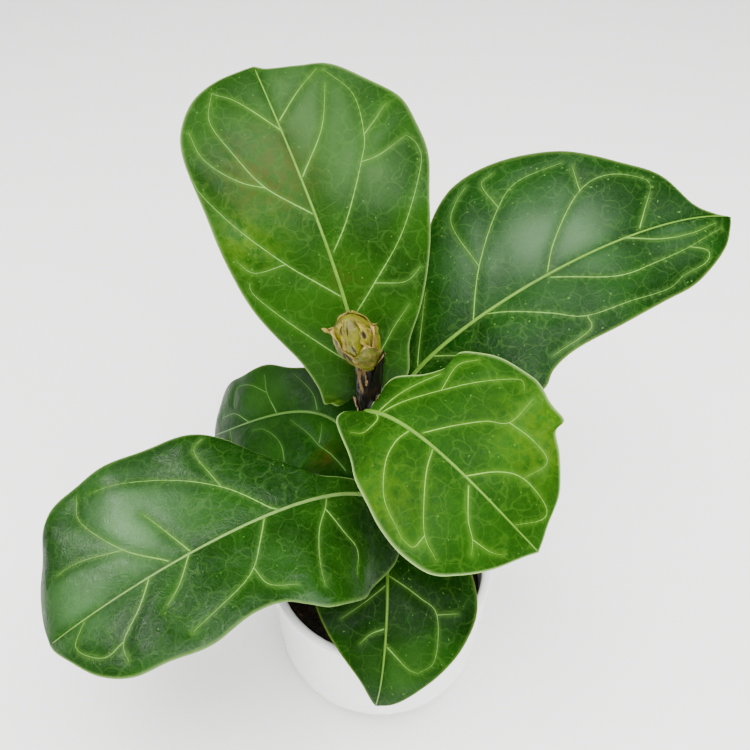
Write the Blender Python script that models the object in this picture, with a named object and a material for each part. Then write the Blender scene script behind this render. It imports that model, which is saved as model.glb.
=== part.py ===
"""A young fiddle leaf fig in a round glazed pot.

Metres, +Z up. The origin is the centre of the pot's flat underside. The plant is laid out from
the centre of the pot's rim, so it follows the pot when the pot changes.
"""
import math
from dataclasses import dataclass

import bpy
import numpy as np

MM = 0.001

# Fits
TOUCH_GAP = 0.3 * MM          # between pieces that touch
TRIM_STEPS = 14               # sides of the tubes that trim the leaf stalks

# Pot
RIM_RADIUS = 65 * MM
POT_HEIGHT = 96 * MM
POT_WALL = 5.5 * MM
POT_FLOOR = 7 * MM
BASE_RADIUS = 60 * MM         # where the straight wall would meet the floor
HEEL_RADIUS = 38 * MM         # the large round between wall and underside
POT_SEGMENTS = 44

# Potting mix
MIX_DEPTH_BELOW_RIM = 17 * MM
MIX_CROWN = 4 * MM            # rise of the mix at the stem
SOCKET_DEPTH = 28 * MM        # how far the stem goes into the mix

# Stem, measured up from the rim
STEM_RADIUS = 3.6 * MM
STEM_TIP_RADIUS = 3.0 * MM
STEM_TOP = 119 * MM
STEM_LEAN = (-5.2 * MM, 1.0 * MM)   # sideways shift of the top

# Growing tip
SHEATH_LENGTH = 39 * MM
SHEATH_RADIUS = 5.6 * MM
SHEATH_LEAN = (-1.5 * MM, -1.5 * MM)
SHEATH_SIDES = 14
BUD_LENGTH = 28 * MM
BUD_SEAT = 1.5 * MM           # trimmed off the bud's foot where it sits on the sheath
BUD_RADIUS = 10.5 * MM
BUD_LEAN = (-8.0 * MM, -2.0 * MM)
SCALE_THICKNESS = 0.8 * MM
SCALE_HEIGHT = 11 * MM

# Leaves
BLADE_THICKNESS = 1.0 * MM
STALK_RADIUS = 2.1 * MM
RIB_RADIUS = 1.7 * MM         # midrib under the blade, at the stalk
RIB_TIP_RADIUS = 0.5 * MM
RIB_SHARE = 0.88              # of the blade's length
LEAF_SIZE = 1.0               # every blade, about its stalk
BLADE_ROWS = 15
BLADE_COLUMNS = 4
STALK_SIDES = 8
FOOT_SPREAD = 1.35            # rows start closer together near the stalk


@dataclass(frozen=True)
class Leaf:
    """One leaf. Lengths are in millimetres, from the centre of the pot's rim."""

    name: str
    colour: tuple
    stalk_height: float       # on the stem, above the rim
    midrib: tuple             # four control points of a cubic curve
    face_base: tuple          # the way the upper face looks at the stalk
    face_tip: tuple           # and at the tip
    left: tuple               # outline, seen from above with the tip away: (along, out)
    right: tuple
    fold: tuple = (6, 6)      # degrees that each half rises from the midrib, left and right
    curl: tuple = (3, 3)      # radians per metre that it bends back down
    wave: tuple = (1.2, 4, 0.0)   # height, number and phase of the edge's waves


RIM_MM = RIM_RADIUS / MM

LEAVES = (
    Leaf(
        "leaf_back", (0.13, 0.25, 0.06), 107,
        ((-9, 12, 127), (-11, 15, 174), (-35, 47, 224), (-62, 108, 252)),
        (0.0, -0.95, 0.3), (0.1, -0.7, 0.7),
        ((-5, 12), (-5, 19), (6, 22), (22, 28), (42, 37), (62, 44), (82, 47), (110, 48),
         (138, 48), (154, 44), (166, 34), (172, 20), (174, 7)),
        ((4, 13), (11, 23), (25, 26), (42, 36), (62, 46), (82, 53), (100, 60), (115, 60),
         (131, 57), (147, 46), (160, 33), (165, 20), (170, 6)),
        wave=(1.2, 4, 0.5),
    ),
    Leaf(
        "leaf_right", (0.07, 0.16, 0.05), 90,
        ((14, 30, 115), (34, 42, 146), (130, 76, 194), (181, 84, 182)),
        (-0.35, -0.6, 0.75), (-0.1, -0.6, 0.8),
        ((-7, 12), (-4, 26), (10, 36), (28, 42), (46, 46), (60, 59), (74, 67), (91, 69),
         (108, 65), (126, 56), (145, 41), (162, 27), (174, 8), (185, 1.5)),
        ((-7, 12), (-3, 28), (14, 40), (36, 46), (56, 50), (68, 44), (84, 41), (112, 41),
         (142, 38), (160, 35), (176, 27), (188, 17), (193, 6)),
        wave=(1.0, 3, 1.2),
    ),
    Leaf(
        "leaf_left", (0.1, 0.2, 0.05), 52,
        ((-7, -11, 72), (-42, -16, 93), (-126, -78, 81), (-160, -84, 48)),
        (0.0, -0.3, 0.95), (-0.4, -0.3, 0.85),
        ((-12, 8), (-19, 20), (-18, 32), (-8, 44), (6, 53), (26, 57), (46, 57), (57, 51),
         (68, 45), (84, 44), (106, 47), (126, 44), (142, 41), (156, 31), (168, 15), (176, 5)),
        ((4, 5), (14, 8), (25, 12), (36, 22), (47, 34), (60, 51), (74, 61), (92, 66),
         (110, 69), (130, 70), (149, 68), (161, 60), (171, 43), (178, 26), (180, 12)),
        wave=(1.0, 4, 2.0),
    ),
    Leaf(
        "leaf_back_left", (0.05, 0.13, 0.04), 60,
        ((-12, 8, 78), (-22, 32, 120), (-75, 30, 82), (-98, 53, 50)),
        (0.1, -0.4, 0.9), (-0.2, -0.4, 0.85),
        ((-6, 12), (-2, 26), (14, 36), (36, 38), (60, 38), (84, 35), (102, 27), (114, 15),
         (120, 6)),
        ((-6, 8), (-2, 18), (14, 24), (36, 26), (54, 26), (70, 31), (88, 30), (106, 30),
         (118, 26), (124, 15), (124, 6)),
        wave=(0.8, 3, 0.0),
    ),
    Leaf(
        "leaf_young", (0.3, 0.5, 0.06), 108,
        ((-5.5, -11, 135), (15, -24, 144), (42, -64, 140), (70, -72, 107)),
        (0.0, -0.4, 0.92), (0.2, -0.6, 0.75),
        ((5, 9), (8, 22), (14, 27), (19, 36), (19, 46), (26, 51), (38, 56), (50, 57),
         (62, 53), (73, 52), (74, 45), (83, 38), (96, 26), (102, 12), (105, 6)),
        ((-6, 1.5), (-15, 2), (-17, 7), (-11, 14), (0, 23), (10, 29), (22, 35), (37, 40),
         (50, 44), (64, 45), (77, 42), (86, 33), (94, 22), (102, 8)),
        (4, 4), (2, 2), (0.8, 4, 0.8),
    ),
    Leaf(
        "leaf_front", (0.05, 0.12, 0.04), 20,
        ((2, -12, 38), (5, -34, 46), (3, -RIM_MM - 19, 17), (-3, -RIM_MM - 20, -10)),
        (0.0, -0.2, 0.95), (0.0, -0.9, 0.3),
        ((-6, 12), (-2, 28), (10, 39), (25, 45), (42, 47), (57, 41), (70, 31), (82, 19),
         (92, 8)),
        ((-6, 12), (-2, 26), (10, 36), (26, 40), (40, 38), (53, 32), (66, 23), (80, 11),
         (92, 3)),
        wave=(0.8, 3, 1.0),
    ),
)


def clear_scene():
    """Remove every object that the new file came with."""
    for item in list(bpy.data.objects):
        bpy.data.objects.remove(item, do_unlink=True)


def material(name, colour, roughness, metallic=0.0):
    """Return a plain Principled material."""
    mat = bpy.data.materials.new(name)
    mat.use_nodes = True
    shader = mat.node_tree.nodes["Principled BSDF"]
    shader.inputs["Base Color"].default_value = (*colour, 1.0)
    shader.inputs["Roughness"].default_value = roughness
    shader.inputs["Metallic"].default_value = metallic
    mat.diffuse_color = (*colour, 1.0)
    return mat


def add_object(name, vertices, faces, mat=None):
    """Make a mesh object from points and faces."""
    mesh = bpy.data.meshes.new(name)
    mesh.from_pydata([tuple(float(c) for c in v) for v in vertices], [], faces)
    mesh.validate()
    item = bpy.data.objects.new(name, mesh)
    bpy.context.scene.collection.objects.link(item)
    if mat is not None:
        mesh.materials.append(mat)
    mesh.shade_smooth()
    mesh.set_sharp_from_angle(angle=math.radians(50))
    return item


def hide_guide(item):
    """Mark an object as a cutter or guide, which isn't part of the plant."""
    item.hide_render = True
    item.display_type = "WIRE"


def boolean(item, other, operation):
    """Add a Boolean modifier."""
    mod = item.modifiers.new(operation.lower(), "BOOLEAN")
    mod.object = other
    mod.operation = operation
    mod.solver = "EXACT"


def bezier(points, share):
    """Points on a cubic curve at the given shares of its parameter."""
    a, b, c, d = (np.array(p, float) for p in points)
    u = np.atleast_1d(share)[:, None]
    return a * (1 - u) ** 3 + 3 * b * u * (1 - u) ** 2 + 3 * c * u * u * (1 - u) + d * u ** 3


def bezier_slope(points, share):
    """The curve's direction, as unit vectors."""
    a, b, c, d = (np.array(p, float) for p in points)
    u = np.atleast_1d(share)[:, None]
    slope = (b - a) * (1 - u) ** 2 + 2 * (c - b) * u * (1 - u) + (d - c) * u * u
    return slope / np.linalg.norm(slope, axis=1)[:, None]


def smooth_line(points, count):
    """Points spaced evenly along a Catmull-Rom line through the given points."""
    given = np.array(points, float)
    ends = np.vstack([2 * given[0] - given[1], given, 2 * given[-1] - given[-2]])
    fine = []
    for i in range(len(given) - 1):
        p0, p1, p2, p3 = ends[i:i + 4]
        u = np.linspace(0, 1, 12, endpoint=False)[:, None]
        fine.append(0.5 * (2 * p1 + (p2 - p0) * u + (2 * p0 - 5 * p1 + 4 * p2 - p3) * u * u
                           + (3 * p1 - p0 - 3 * p2 + p3) * u ** 3))
    line = np.vstack(fine + [given[-1:]])
    run = np.r_[0, np.cumsum(np.linalg.norm(np.diff(line, axis=0), axis=1))]
    at = np.linspace(0, run[-1], count)
    return np.stack([np.interp(at, run, line[:, k]) for k in range(line.shape[1])], 1)


def tube(name, path, radii, sides, mat=None):
    """A closed tube of changing radius along a path."""
    path = np.array(path, float)
    heading = np.gradient(path, axis=0)
    heading /= np.linalg.norm(heading, axis=1)[:, None]
    across = np.cross(heading[0], (0.31, 0.87, 0.38))
    vertices = []
    for point, forward, radius in zip(path, heading, radii):
        across = across - forward * (across @ forward)
        across /= np.linalg.norm(across)
        other = np.cross(forward, across)
        for k in range(sides):
            angle = 2 * math.pi * k / sides
            vertices.append(point + radius * (math.cos(angle) * across + math.sin(angle) * other))
    faces = [tuple(range(sides))[::-1]]
    for i in range(len(path) - 1):
        for k in range(sides):
            a = i * sides + k
            b = i * sides + (k + 1) % sides
            faces.append((a, b, b + sides, a + sides))
    last = (len(path) - 1) * sides
    faces.append(tuple(range(last, last + sides)))
    return add_object(name, vertices, faces, mat)


def turned(name, profile, segments, mat):
    """A solid of revolution: a profile from the axis below, round the outside, to the axis above."""
    rings = [(r, z) for r, z in profile if r > 1e-9]
    vertices = [(0.0, 0.0, profile[0][1])]
    for radius, height in rings:
        for k in range(segments):
            angle = 2 * math.pi * k / segments
            vertices.append((radius * math.cos(angle), radius * math.sin(angle), height))
    top = len(vertices)
    vertices.append((0.0, 0.0, profile[-1][1]))
    faces = []
    for k in range(segments):
        n = (k + 1) % segments
        faces.append((0, 1 + n, 1 + k))
        for i in range(len(rings) - 1):
            a = 1 + i * segments
            faces.append((a + k, a + n, a + segments + n, a + segments + k))
        a = 1 + (len(rings) - 1) * segments
        faces.append((top, a + k, a + n))
    return add_object(name, vertices, faces, mat)


def arc(centre, radius, start, end, count):
    """Points of an arc in a profile, angles in degrees."""
    out = []
    for i in range(count + 1):
        angle = math.radians(start + (end - start) * i / count)
        out.append((centre[0] + radius * math.cos(angle), centre[1] + radius * math.sin(angle)))
    return out


def wall_tilt():
    """The wall's lean from upright, in radians."""
    return math.atan2(RIM_RADIUS - BASE_RADIUS, POT_HEIGHT)


def heel(radius, base_radius, floor):
    """The round from the underside to the wall, for a surface of the given base radius."""
    tilt = wall_tilt()
    height = floor + radius
    wall_at = base_radius + height * math.tan(tilt)
    centre = (wall_at - radius / math.cos(tilt), height)
    return arc(centre, radius, -90, -math.degrees(tilt), 7)


def wall_radius(height, inset=0.0):
    """Radius of the pot's outer wall at a height, less an inset measured across the wall."""
    tilt = wall_tilt()
    return BASE_RADIUS + height * math.tan(tilt) - inset / math.cos(tilt)


def build_pot():
    """The pot: flat underside, round heel, plain wall, rounded lip and an open inside."""
    lip = POT_WALL / 2
    outside = [(0.0, 0.0)] + heel(HEEL_RADIUS, BASE_RADIUS, 0.0)
    lip_height = POT_HEIGHT - lip
    lip_centre = (wall_radius(lip_height, lip), lip_height)
    outside += arc(lip_centre, lip, -math.degrees(wall_tilt()), 180, 6)
    inner_round = HEEL_RADIUS - POT_WALL
    inside = heel(inner_round, BASE_RADIUS - POT_WALL / math.cos(wall_tilt()), POT_FLOOR)
    profile = outside + inside[::-1] + [(0.0, POT_FLOOR)]
    return turned("pot", profile, POT_SEGMENTS, material("glazed_ceramic", (0.86, 0.86, 0.85), 0.12))


def mix_top():
    """Height of the potting mix at the pot's wall."""
    return POT_HEIGHT - MIX_DEPTH_BELOW_RIM


def mix_height(radius):
    """Height of the mix at a distance from the pot's axis."""
    share = min(radius / (RIM_RADIUS - POT_WALL), 1.0)
    return mix_top() + MIX_CROWN * (1 - share ** 2) ** 2


def build_mix():
    """The potting mix: fills the pot to below its rim, with a socket for the stem."""
    inset = POT_WALL + TOUCH_GAP
    floor = POT_FLOOR + TOUCH_GAP
    radius = HEEL_RADIUS - POT_WALL - TOUCH_GAP
    profile = [(0.0, floor)] + heel(radius, BASE_RADIUS - inset / math.cos(wall_tilt()), floor)
    edge = wall_radius(mix_top(), inset)
    profile.append((edge, mix_top()))
    for share in (0.85, 0.65, 0.45, 0.25):
        profile.append((edge * share, mix_height(edge * share)))
    profile.append((0.0, mix_height(0.0)))
    mix = turned("potting_mix", profile, POT_SEGMENTS, material("potting_mix", (0.03, 0.022, 0.017), 0.95))
    socket = tube("stem_socket", *stem_line(TOUCH_GAP), TRIM_STEPS)
    hide_guide(socket)
    boolean(mix, socket, "DIFFERENCE")
    return mix


def stem_foot():
    """Height of the stem's lower end."""
    return mix_height(0.0) - SOCKET_DEPTH


def stem_point(height):
    """Centre of the stem at a height above the rim."""
    share = max(height, 0.0) / STEM_TOP
    sway = share ** 1.5
    bow = 1.5 * MM * math.sin(math.pi * share)
    return (STEM_LEAN[0] * sway, STEM_LEAN[1] * sway - bow, POT_HEIGHT + height)


def stem_line(grow=0.0):
    """The stem's path and radii, grown all round to cut the pieces that touch it."""
    foot = stem_foot() - POT_HEIGHT
    heights = np.linspace(foot, STEM_TOP, 9)
    path = [stem_point(h) for h in heights]
    radii = [STEM_RADIUS + (STEM_TIP_RADIUS - STEM_RADIUS) * i / 8 + grow for i in range(9)]
    if grow:
        path[0] = (path[0][0], path[0][1], path[0][2] - grow)
        path[-1] = (path[-1][0], path[-1][1], path[-1][2] + grow)
    return path, radii


def build_stem():
    """The stem, from its socket in the mix to the growing tip."""
    return tube("stem", *stem_line(), TRIM_STEPS, material("green_stem", (0.16, 0.17, 0.06), 0.6))


def sheath_line(grow=0.0):
    """The sheath's path and radii, grown all round to cut what touches it."""
    foot = np.array(stem_point(STEM_TOP)) + (0, 0, 2 * TOUCH_GAP)
    lean = np.array((*SHEATH_LEAN, SHEATH_LENGTH))
    shares = (0.0, 0.12, 0.35, 0.6, 0.82, 1.0)
    swell = (0.72, 0.96, 1.08, 1.14, 1.1, 0.95)
    path = [foot + lean * (s, s, s) for s in shares]
    path[0] = path[0] - (0, 0, grow)
    path[-1] = path[-1] + (0, 0, grow)
    return path, [SHEATH_RADIUS * w + grow for w in swell]


def build_sheath():
    """The dark sheath that stands on the stem and holds the bud."""
    mat = material("bud_sheath", (0.035, 0.022, 0.015), 0.35)
    return tube("bud_sheath", *sheath_line(), SHEATH_SIDES, mat)


def build_bud(trim):
    """The crumpled head of unopened leaf, cut to sit on the sheath."""
    foot = sheath_line()[0][-1] - (0, 0, BUD_SEAT)
    lean = np.array((*BUD_LEAN, BUD_LENGTH))
    shares = (0.0, 0.15, 0.35, 0.55, 0.75, 0.9, 1.0)
    sway = [share ** 0.7 for share in shares]
    swell = (0.48, 0.72, 0.95, 1.0, 0.86, 0.6, 0.25)
    sides = 16
    mat = material("bud", (0.35, 0.42, 0.1), 0.5)
    path = [foot + lean * (w, w, s) for s, w in zip(shares, sway)]
    bud = tube("terminal_bud", path, [BUD_RADIUS * w for w in swell], sides, mat)
    for i, vertex in enumerate(bud.data.vertices):
        row, side = divmod(i, sides)
        angle = 2 * math.pi * side / sides
        crease = 1 + 0.09 * math.sin(5 * angle + row) * math.sin(math.pi * shares[row])
        centre = path[row]
        for k in (0, 1):
            vertex.co[k] = centre[k] + (vertex.co[k] - centre[k]) * crease
    boolean(bud, trim, "DIFFERENCE")
    return bud


def build_scales():
    """Two dry papery scales that hug the foot of the sheath."""
    foot = np.array(stem_point(STEM_TOP))
    mat = material("papery_scale", (0.42, 0.3, 0.16), 0.8)
    inner = SHEATH_RADIUS + 2 * TOUCH_GAP
    scales = []
    for name, middle, half_width, height in (("papery_scale_left", 170, 30, SCALE_HEIGHT),
                                             ("papery_scale_right", 335, 28, SCALE_HEIGHT * 0.8)):
        columns = 6
        rows = 4
        layers = []
        for radius in (inner, inner + SCALE_THICKNESS):
            for i in range(rows + 1):
                share = i / rows
                spread = half_width * (1 - 0.85 * share ** 1.6)
                flare = radius + 1.2 * MM * share ** 2
                centre = foot + np.array((*SHEATH_LEAN, 0)) * (share * height / SHEATH_LENGTH) ** 2
                for j in range(columns + 1):
                    angle = math.radians(middle + spread * (2 * j / columns - 1))
                    layers.append(centre + (flare * math.cos(angle), flare * math.sin(angle),
                                            TOUCH_GAP + height * share))
        scales.append(add_object(name, layers, slab_faces(rows, columns), mat))
    return scales


def slab_faces(rows, columns):
    """Faces of a closed slab: an inner grid of points, then an outer one."""
    wide = columns + 1
    layer = (rows + 1) * wide
    faces = []
    for i in range(rows):
        for j in range(columns):
            a = i * wide + j
            faces.append((a, a + wide, a + wide + 1, a + 1))
            b = a + layer
            faces.append((b, b + 1, b + wide + 1, b + wide))
    rim = list(range(wide))
    rim += [i * wide + columns for i in range(1, rows + 1)]
    rim += [rows * wide + j for j in range(columns - 1, -1, -1)]
    rim += [i * wide for i in range(rows - 1, 0, -1)]
    for a, b in zip(rim, rim[1:] + rim[:1]):
        faces.append((a, b, b + layer, a + layer))
    return faces


class BladeSurface:
    """Turns a place on the flat leaf, in millimetres, into a point of the bent blade."""

    def __init__(self, leaf):
        self.leaf = leaf
        base = np.array(leaf.midrib[0], float)
        self.curve = [base + (np.array(p, float) - base) * LEAF_SIZE for p in leaf.midrib]
        self.share = np.linspace(0, 1, 201)
        steps = np.linalg.norm(np.diff(bezier(self.curve, self.share), axis=0), axis=1)
        self.run = np.r_[0, np.cumsum(steps)]
        self.length = self.run[-1]

    def frame(self, along):
        """Points on the midrib with the forward, upper and sideways directions there."""
        along = np.atleast_1d(np.asarray(along, float))
        inside = np.clip(along, 0, self.length)
        share = np.interp(inside, self.run, self.share)
        forward = bezier_slope(self.curve, share)
        point = bezier(self.curve, share) + forward * (along - inside)[:, None]
        mix = np.clip(along / self.length, 0, 1)[:, None]
        upper = np.array(self.leaf.face_base) * (1 - mix) + np.array(self.leaf.face_tip) * mix
        upper = upper - forward * np.sum(upper * forward, 1)[:, None]
        upper /= np.linalg.norm(upper, axis=1)[:, None]
        return point, forward, upper, np.cross(forward, upper)

    def place(self, along, out, lift):
        """Points at a distance along and out from the midrib, and off the middle surface."""
        along = np.asarray(along, float)
        out = np.asarray(out, float)
        point, _, upper, sideways = self.frame(along)
        side = (out > 0).astype(int)
        fold = np.radians(np.array(self.leaf.fold, float))[side]
        bend = (np.array(self.leaf.curl, float) / 1000)[side]
        reach = np.abs(out)
        across = (np.sin(fold) - np.sin(fold - bend * reach)) / bend
        rise = (np.cos(fold - bend * reach) - np.cos(fold)) / bend
        height, count, phase = self.leaf.wave
        ripple = height * np.sin(2 * math.pi * count * along / self.length + phase + 2.1 * side)
        rise = rise + ripple * np.minimum(reach / 45, 1.2) ** 2 + lift
        return point + sideways * (np.sign(out) * across)[:, None] + upper * rise[:, None]


def blade_half(leaf, surface, side):
    """Flat places of one half of the blade, from row to row and from midrib to edge."""
    given = leaf.right if side > 0 else leaf.left
    outline = np.vstack([(0.0, 0.0), np.array(given) * LEAF_SIZE, (surface.length, 0.0)])
    edge = smooth_line(outline, BLADE_ROWS + 1)
    feet = surface.length * np.linspace(0, 1, BLADE_ROWS + 1) ** FOOT_SPREAD
    return feet, edge[:, 0], np.abs(edge[:, 1]) * side


def build_blade(leaf, surface, mat):
    """The blade alone: an upper and a lower skin, joined round the edge."""
    half = BLADE_THICKNESS / MM / 2
    rows = BLADE_ROWS
    columns = BLADE_COLUMNS
    feet, left_x, left_y = blade_half(leaf, surface, -1)
    _, right_x, right_y = blade_half(leaf, surface, 1)
    flat = [(0.0, 0.0)]
    index = {}
    for i in range(1, rows):
        for j in range(-columns, columns + 1):
            edge_x, edge_y = (left_x[i], left_y[i]) if j < 0 else (right_x[i], right_y[i])
            share = abs(j) / columns
            index[i, j] = len(flat)
            flat.append((feet[i] + (edge_x - feet[i]) * share, edge_y * share))
    flat.append((surface.length, 0.0))
    flat = np.array(flat)
    base = 0
    tip = len(flat) - 1
    lower = surface.place(flat[:, 0], flat[:, 1], -half)
    upper = surface.place(flat[:, 0], flat[:, 1], half)
    skin = []
    for j in range(-columns, columns):
        skin.append((base, index[1, j], index[1, j + 1]))
        for i in range(1, rows - 1):
            skin.append((index[i, j], index[i + 1, j], index[i + 1, j + 1], index[i, j + 1]))
        skin.append((index[rows - 1, j], tip, index[rows - 1, j + 1]))
    count = len(flat)
    faces = [tuple(face) for face in skin]
    faces += [tuple(v + count for v in face)[::-1] for face in skin]
    rim = [base] + [index[i, columns] for i in range(1, rows)] + [tip]
    rim += [index[i, -columns] for i in range(rows - 1, 0, -1)]
    for a, b in zip(rim, rim[1:] + rim[:1]):
        faces.append((a, b, b + count, a + count))
    vertices = np.vstack([lower, upper]) * MM + (0, 0, POT_HEIGHT)
    return add_object(leaf.name, vertices, faces, mat)


def stalk_line(leaf, surface):
    """Path and radii of the stalk from the stem's axis and of the midrib under the blade."""
    start = np.array(stem_point(leaf.stalk_height * MM))
    foot, forward, upper, _ = surface.frame([0.0])
    end = foot[0] * MM + (0, 0, POT_HEIGHT) - upper[0] * 0.5 * RIB_RADIUS
    span = np.linalg.norm(end - start)
    outward = (end - start) * (1, 1, 0.3)
    outward /= np.linalg.norm(outward)
    controls = (start, start + outward * span * 0.35, end - forward[0] * span * 0.35, end)
    stalk = bezier(controls, np.linspace(0, 1, 7))
    along = np.linspace(0, surface.length * RIB_SHARE, 12)[1:]
    point, _, upper, _ = surface.frame(along)
    share = (along / along[-1])[:, None]
    rib_radius = RIB_RADIUS + (RIB_TIP_RADIUS - RIB_RADIUS) * share
    rib = point * MM + (0, 0, POT_HEIGHT) - upper * 0.5 * rib_radius
    radii = [STALK_RADIUS] * 6 + [RIB_RADIUS] + list(rib_radius[:, 0])
    return np.vstack([stalk, rib]), radii


def build_leaf(leaf, trims):
    """One leaf: blade, midrib and stalk as a single solid, cut to clear what it grows from."""
    surface = BladeSurface(leaf)
    mat = material(leaf.name, leaf.colour, 0.4)
    blade = build_blade(leaf, surface, mat)
    stalk = tube(leaf.name + "_stalk", *stalk_line(leaf, surface), STALK_SIDES, mat)
    hide_guide(stalk)
    boolean(blade, stalk, "UNION")
    for trim in trims:
        boolean(blade, trim, "DIFFERENCE")
    return blade


def main():
    """Build every piece."""
    clear_scene()
    build_pot()
    build_mix()
    build_stem()
    stem_trim = tube("stem_trim", *stem_line(TOUCH_GAP), TRIM_STEPS)
    sheath_trim = tube("sheath_trim", *sheath_line(TOUCH_GAP), SHEATH_SIDES)
    hide_guide(stem_trim)
    hide_guide(sheath_trim)
    for leaf in LEAVES:
        build_leaf(leaf, (stem_trim, sheath_trim))
    build_sheath()
    build_bud(sheath_trim)
    build_scales()


main()
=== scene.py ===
"""Looks for a young fiddle leaf fig in a round white glazed pot.

The scene is in metres in the shared frame, +Z up. Sizes in the classes and the leaf plans are in
millimetres, and the plans are measured from the centre of the pot's rim. Each class builds one
kind of piece and dresses it in its own finish.
"""

import itertools
import logging
import math
from collections.abc import Callable
from dataclasses import dataclass, field
from enum import Enum

import bpy
import numpy as np
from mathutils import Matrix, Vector


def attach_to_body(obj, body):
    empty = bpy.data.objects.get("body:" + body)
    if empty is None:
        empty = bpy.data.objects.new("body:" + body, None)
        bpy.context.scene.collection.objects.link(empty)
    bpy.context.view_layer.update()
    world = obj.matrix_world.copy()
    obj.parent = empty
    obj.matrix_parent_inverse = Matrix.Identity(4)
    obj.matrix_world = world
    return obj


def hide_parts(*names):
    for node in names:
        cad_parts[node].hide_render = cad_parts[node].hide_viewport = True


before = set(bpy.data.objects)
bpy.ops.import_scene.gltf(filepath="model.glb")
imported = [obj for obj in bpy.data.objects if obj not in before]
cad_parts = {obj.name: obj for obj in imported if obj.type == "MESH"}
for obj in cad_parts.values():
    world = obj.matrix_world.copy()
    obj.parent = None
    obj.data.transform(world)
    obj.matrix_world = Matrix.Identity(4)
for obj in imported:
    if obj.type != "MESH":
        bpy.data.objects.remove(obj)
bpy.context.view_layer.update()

LOG = logging.getLogger("fig")
MM = 0.001

POT_HEIGHT = 96.0       # the leaf plans are measured from the rim
BLADE_HALF = 0.42       # half the blade's thickness
STALK_RADIUS = 2.1
STALK_ROWS = 24         # rings along each stalk
RIB_RADIUS = 1.7        # the midrib's half height at the stalk
RIB_WIDTH = 1.6         # its half width there
RIB_TIP = 0.42          # both at the blade's tip
FOOT_SPREAD = 1.35      # rows start closer together near the stalk
INLAND = 20.0           # distance from the margin at which it no longer flattens the blade
SCALE_THICKNESS = 0.3   # flaps of the sheath and papery scales
BRACT_THICKNESS = 0.35
TOUCH_GAP = 0.3         # between parts that would touch
FLOOR_DROP = 0.2        # keeps the floor off the pot's foot ring

Colour = tuple[float, float, float]
Place = tuple[float, float]
Face = tuple[int, ...]
AlongCore = Callable[[np.ndarray], np.ndarray]


class Side(Enum):
    """The two halves of a blade, seen from above with the tip away."""

    LEFT = -1
    RIGHT = 1


class Mark(Enum):
    """Kinds of patch that a leaf can carry: real bronze and yellowing patches, and painted sheen."""

    BRONZE = "bronze"
    YELLOW = "yellow"
    # pale patches painted where the lights' reflection falls: painted sheen
    PAINTED_SHEEN = "painted_sheen"


# ---------------------------------------------------------------- shared mesh code


@dataclass
class Draft:
    """Points and faces gathered for one object.

    Attributes:
        points: arrays of points in millimetres.
        faces: indices into the points.
        slots: the number of each face's material.
        values: named numbers for each point, read by the materials.
        count: points gathered so far.
    """

    points: list[np.ndarray] = field(default_factory=list)
    faces: list[Face] = field(default_factory=list)
    slots: list[int] = field(default_factory=list)
    values: dict[str, list[np.ndarray]] = field(default_factory=dict)
    count: int = 0

    def add(self, points: np.ndarray, faces: list[Face], slot: int = 0, **values: object) -> None:
        """Add a patch of surface.

        Args:
            points: n by 3, in millimetres.
            faces: indices into those points.
            slot: the material's number.
            values: a number or one number (or vector) for each point.
        """
        size = len(points)
        for name, value in values.items():
            value = np.asarray(value, float)
            wide = value.ndim == 2
            if name not in self.values:
                shape = (self.count, 3) if wide else (self.count,)
                self.values[name] = [np.zeros(shape)]
            self.values[name].append(value if wide else np.broadcast_to(value, (size,)))
        for name, parts in self.values.items():
            if name not in values:
                wide = parts[0].ndim == 2
                parts.append(np.zeros((size, 3) if wide else size))
        self.points.append(np.asarray(points, float))
        base = self.count
        self.faces.extend(tuple(v + base for v in face) for face in faces)
        self.slots.extend([slot] * len(faces))
        self.count += size

    def build(self, name: str, materials: list[bpy.types.Material], smooth: bool = True) -> bpy.types.Object:
        """Make the object.

        Args:
            name: the object's name.
            materials: one for each slot number.
            smooth: shade the faces smooth.

        Returns:
            The new object, linked into the scene.
        """
        points = np.vstack(self.points) * MM
        mesh = bpy.data.meshes.new(name)
        mesh.from_pydata(points.tolist(), [], self.faces)
        for mat in materials:
            mesh.materials.append(mat)
        mesh.polygons.foreach_set("material_index", self.slots)
        mesh.polygons.foreach_set("use_smooth", [smooth] * len(self.faces))
        for key, parts in self.values.items():
            data = np.concatenate(parts)
            kind = "FLOAT_VECTOR" if data.ndim == 2 else "FLOAT"
            layer = mesh.attributes.new(key, kind, "POINT")
            layer.data.foreach_set("vector" if data.ndim == 2 else "value", data.ravel())
        mesh.update()
        obj = bpy.data.objects.new(name, mesh)
        bpy.context.scene.collection.objects.link(obj)
        return obj


def attach(obj: bpy.types.Object, node: str) -> bpy.types.Object:
    """Let obj stand for a CAD node.

    Args:
        obj: the dressed piece, in place.
        node: the CAD node that it replaces.

    Returns:
        The same piece.
    """
    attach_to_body(obj, "root")
    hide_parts(node)
    return obj


def unit(vectors: np.ndarray) -> np.ndarray:
    """Scale each row to length one."""
    return vectors / np.maximum(np.linalg.norm(vectors, axis=-1, keepdims=True), 1e-9)


def square_to(vectors: np.ndarray, forward: np.ndarray) -> np.ndarray:
    """Turn each row square to its forward direction, at length one."""
    return unit(vectors - forward * np.sum(vectors * forward, 1)[:, None])


def bell(gap: np.ndarray, width: float) -> np.ndarray:
    """Give 1 where the gap is zero, fading smoothly over the width."""
    return np.exp(-(gap / width) ** 2)


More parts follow.
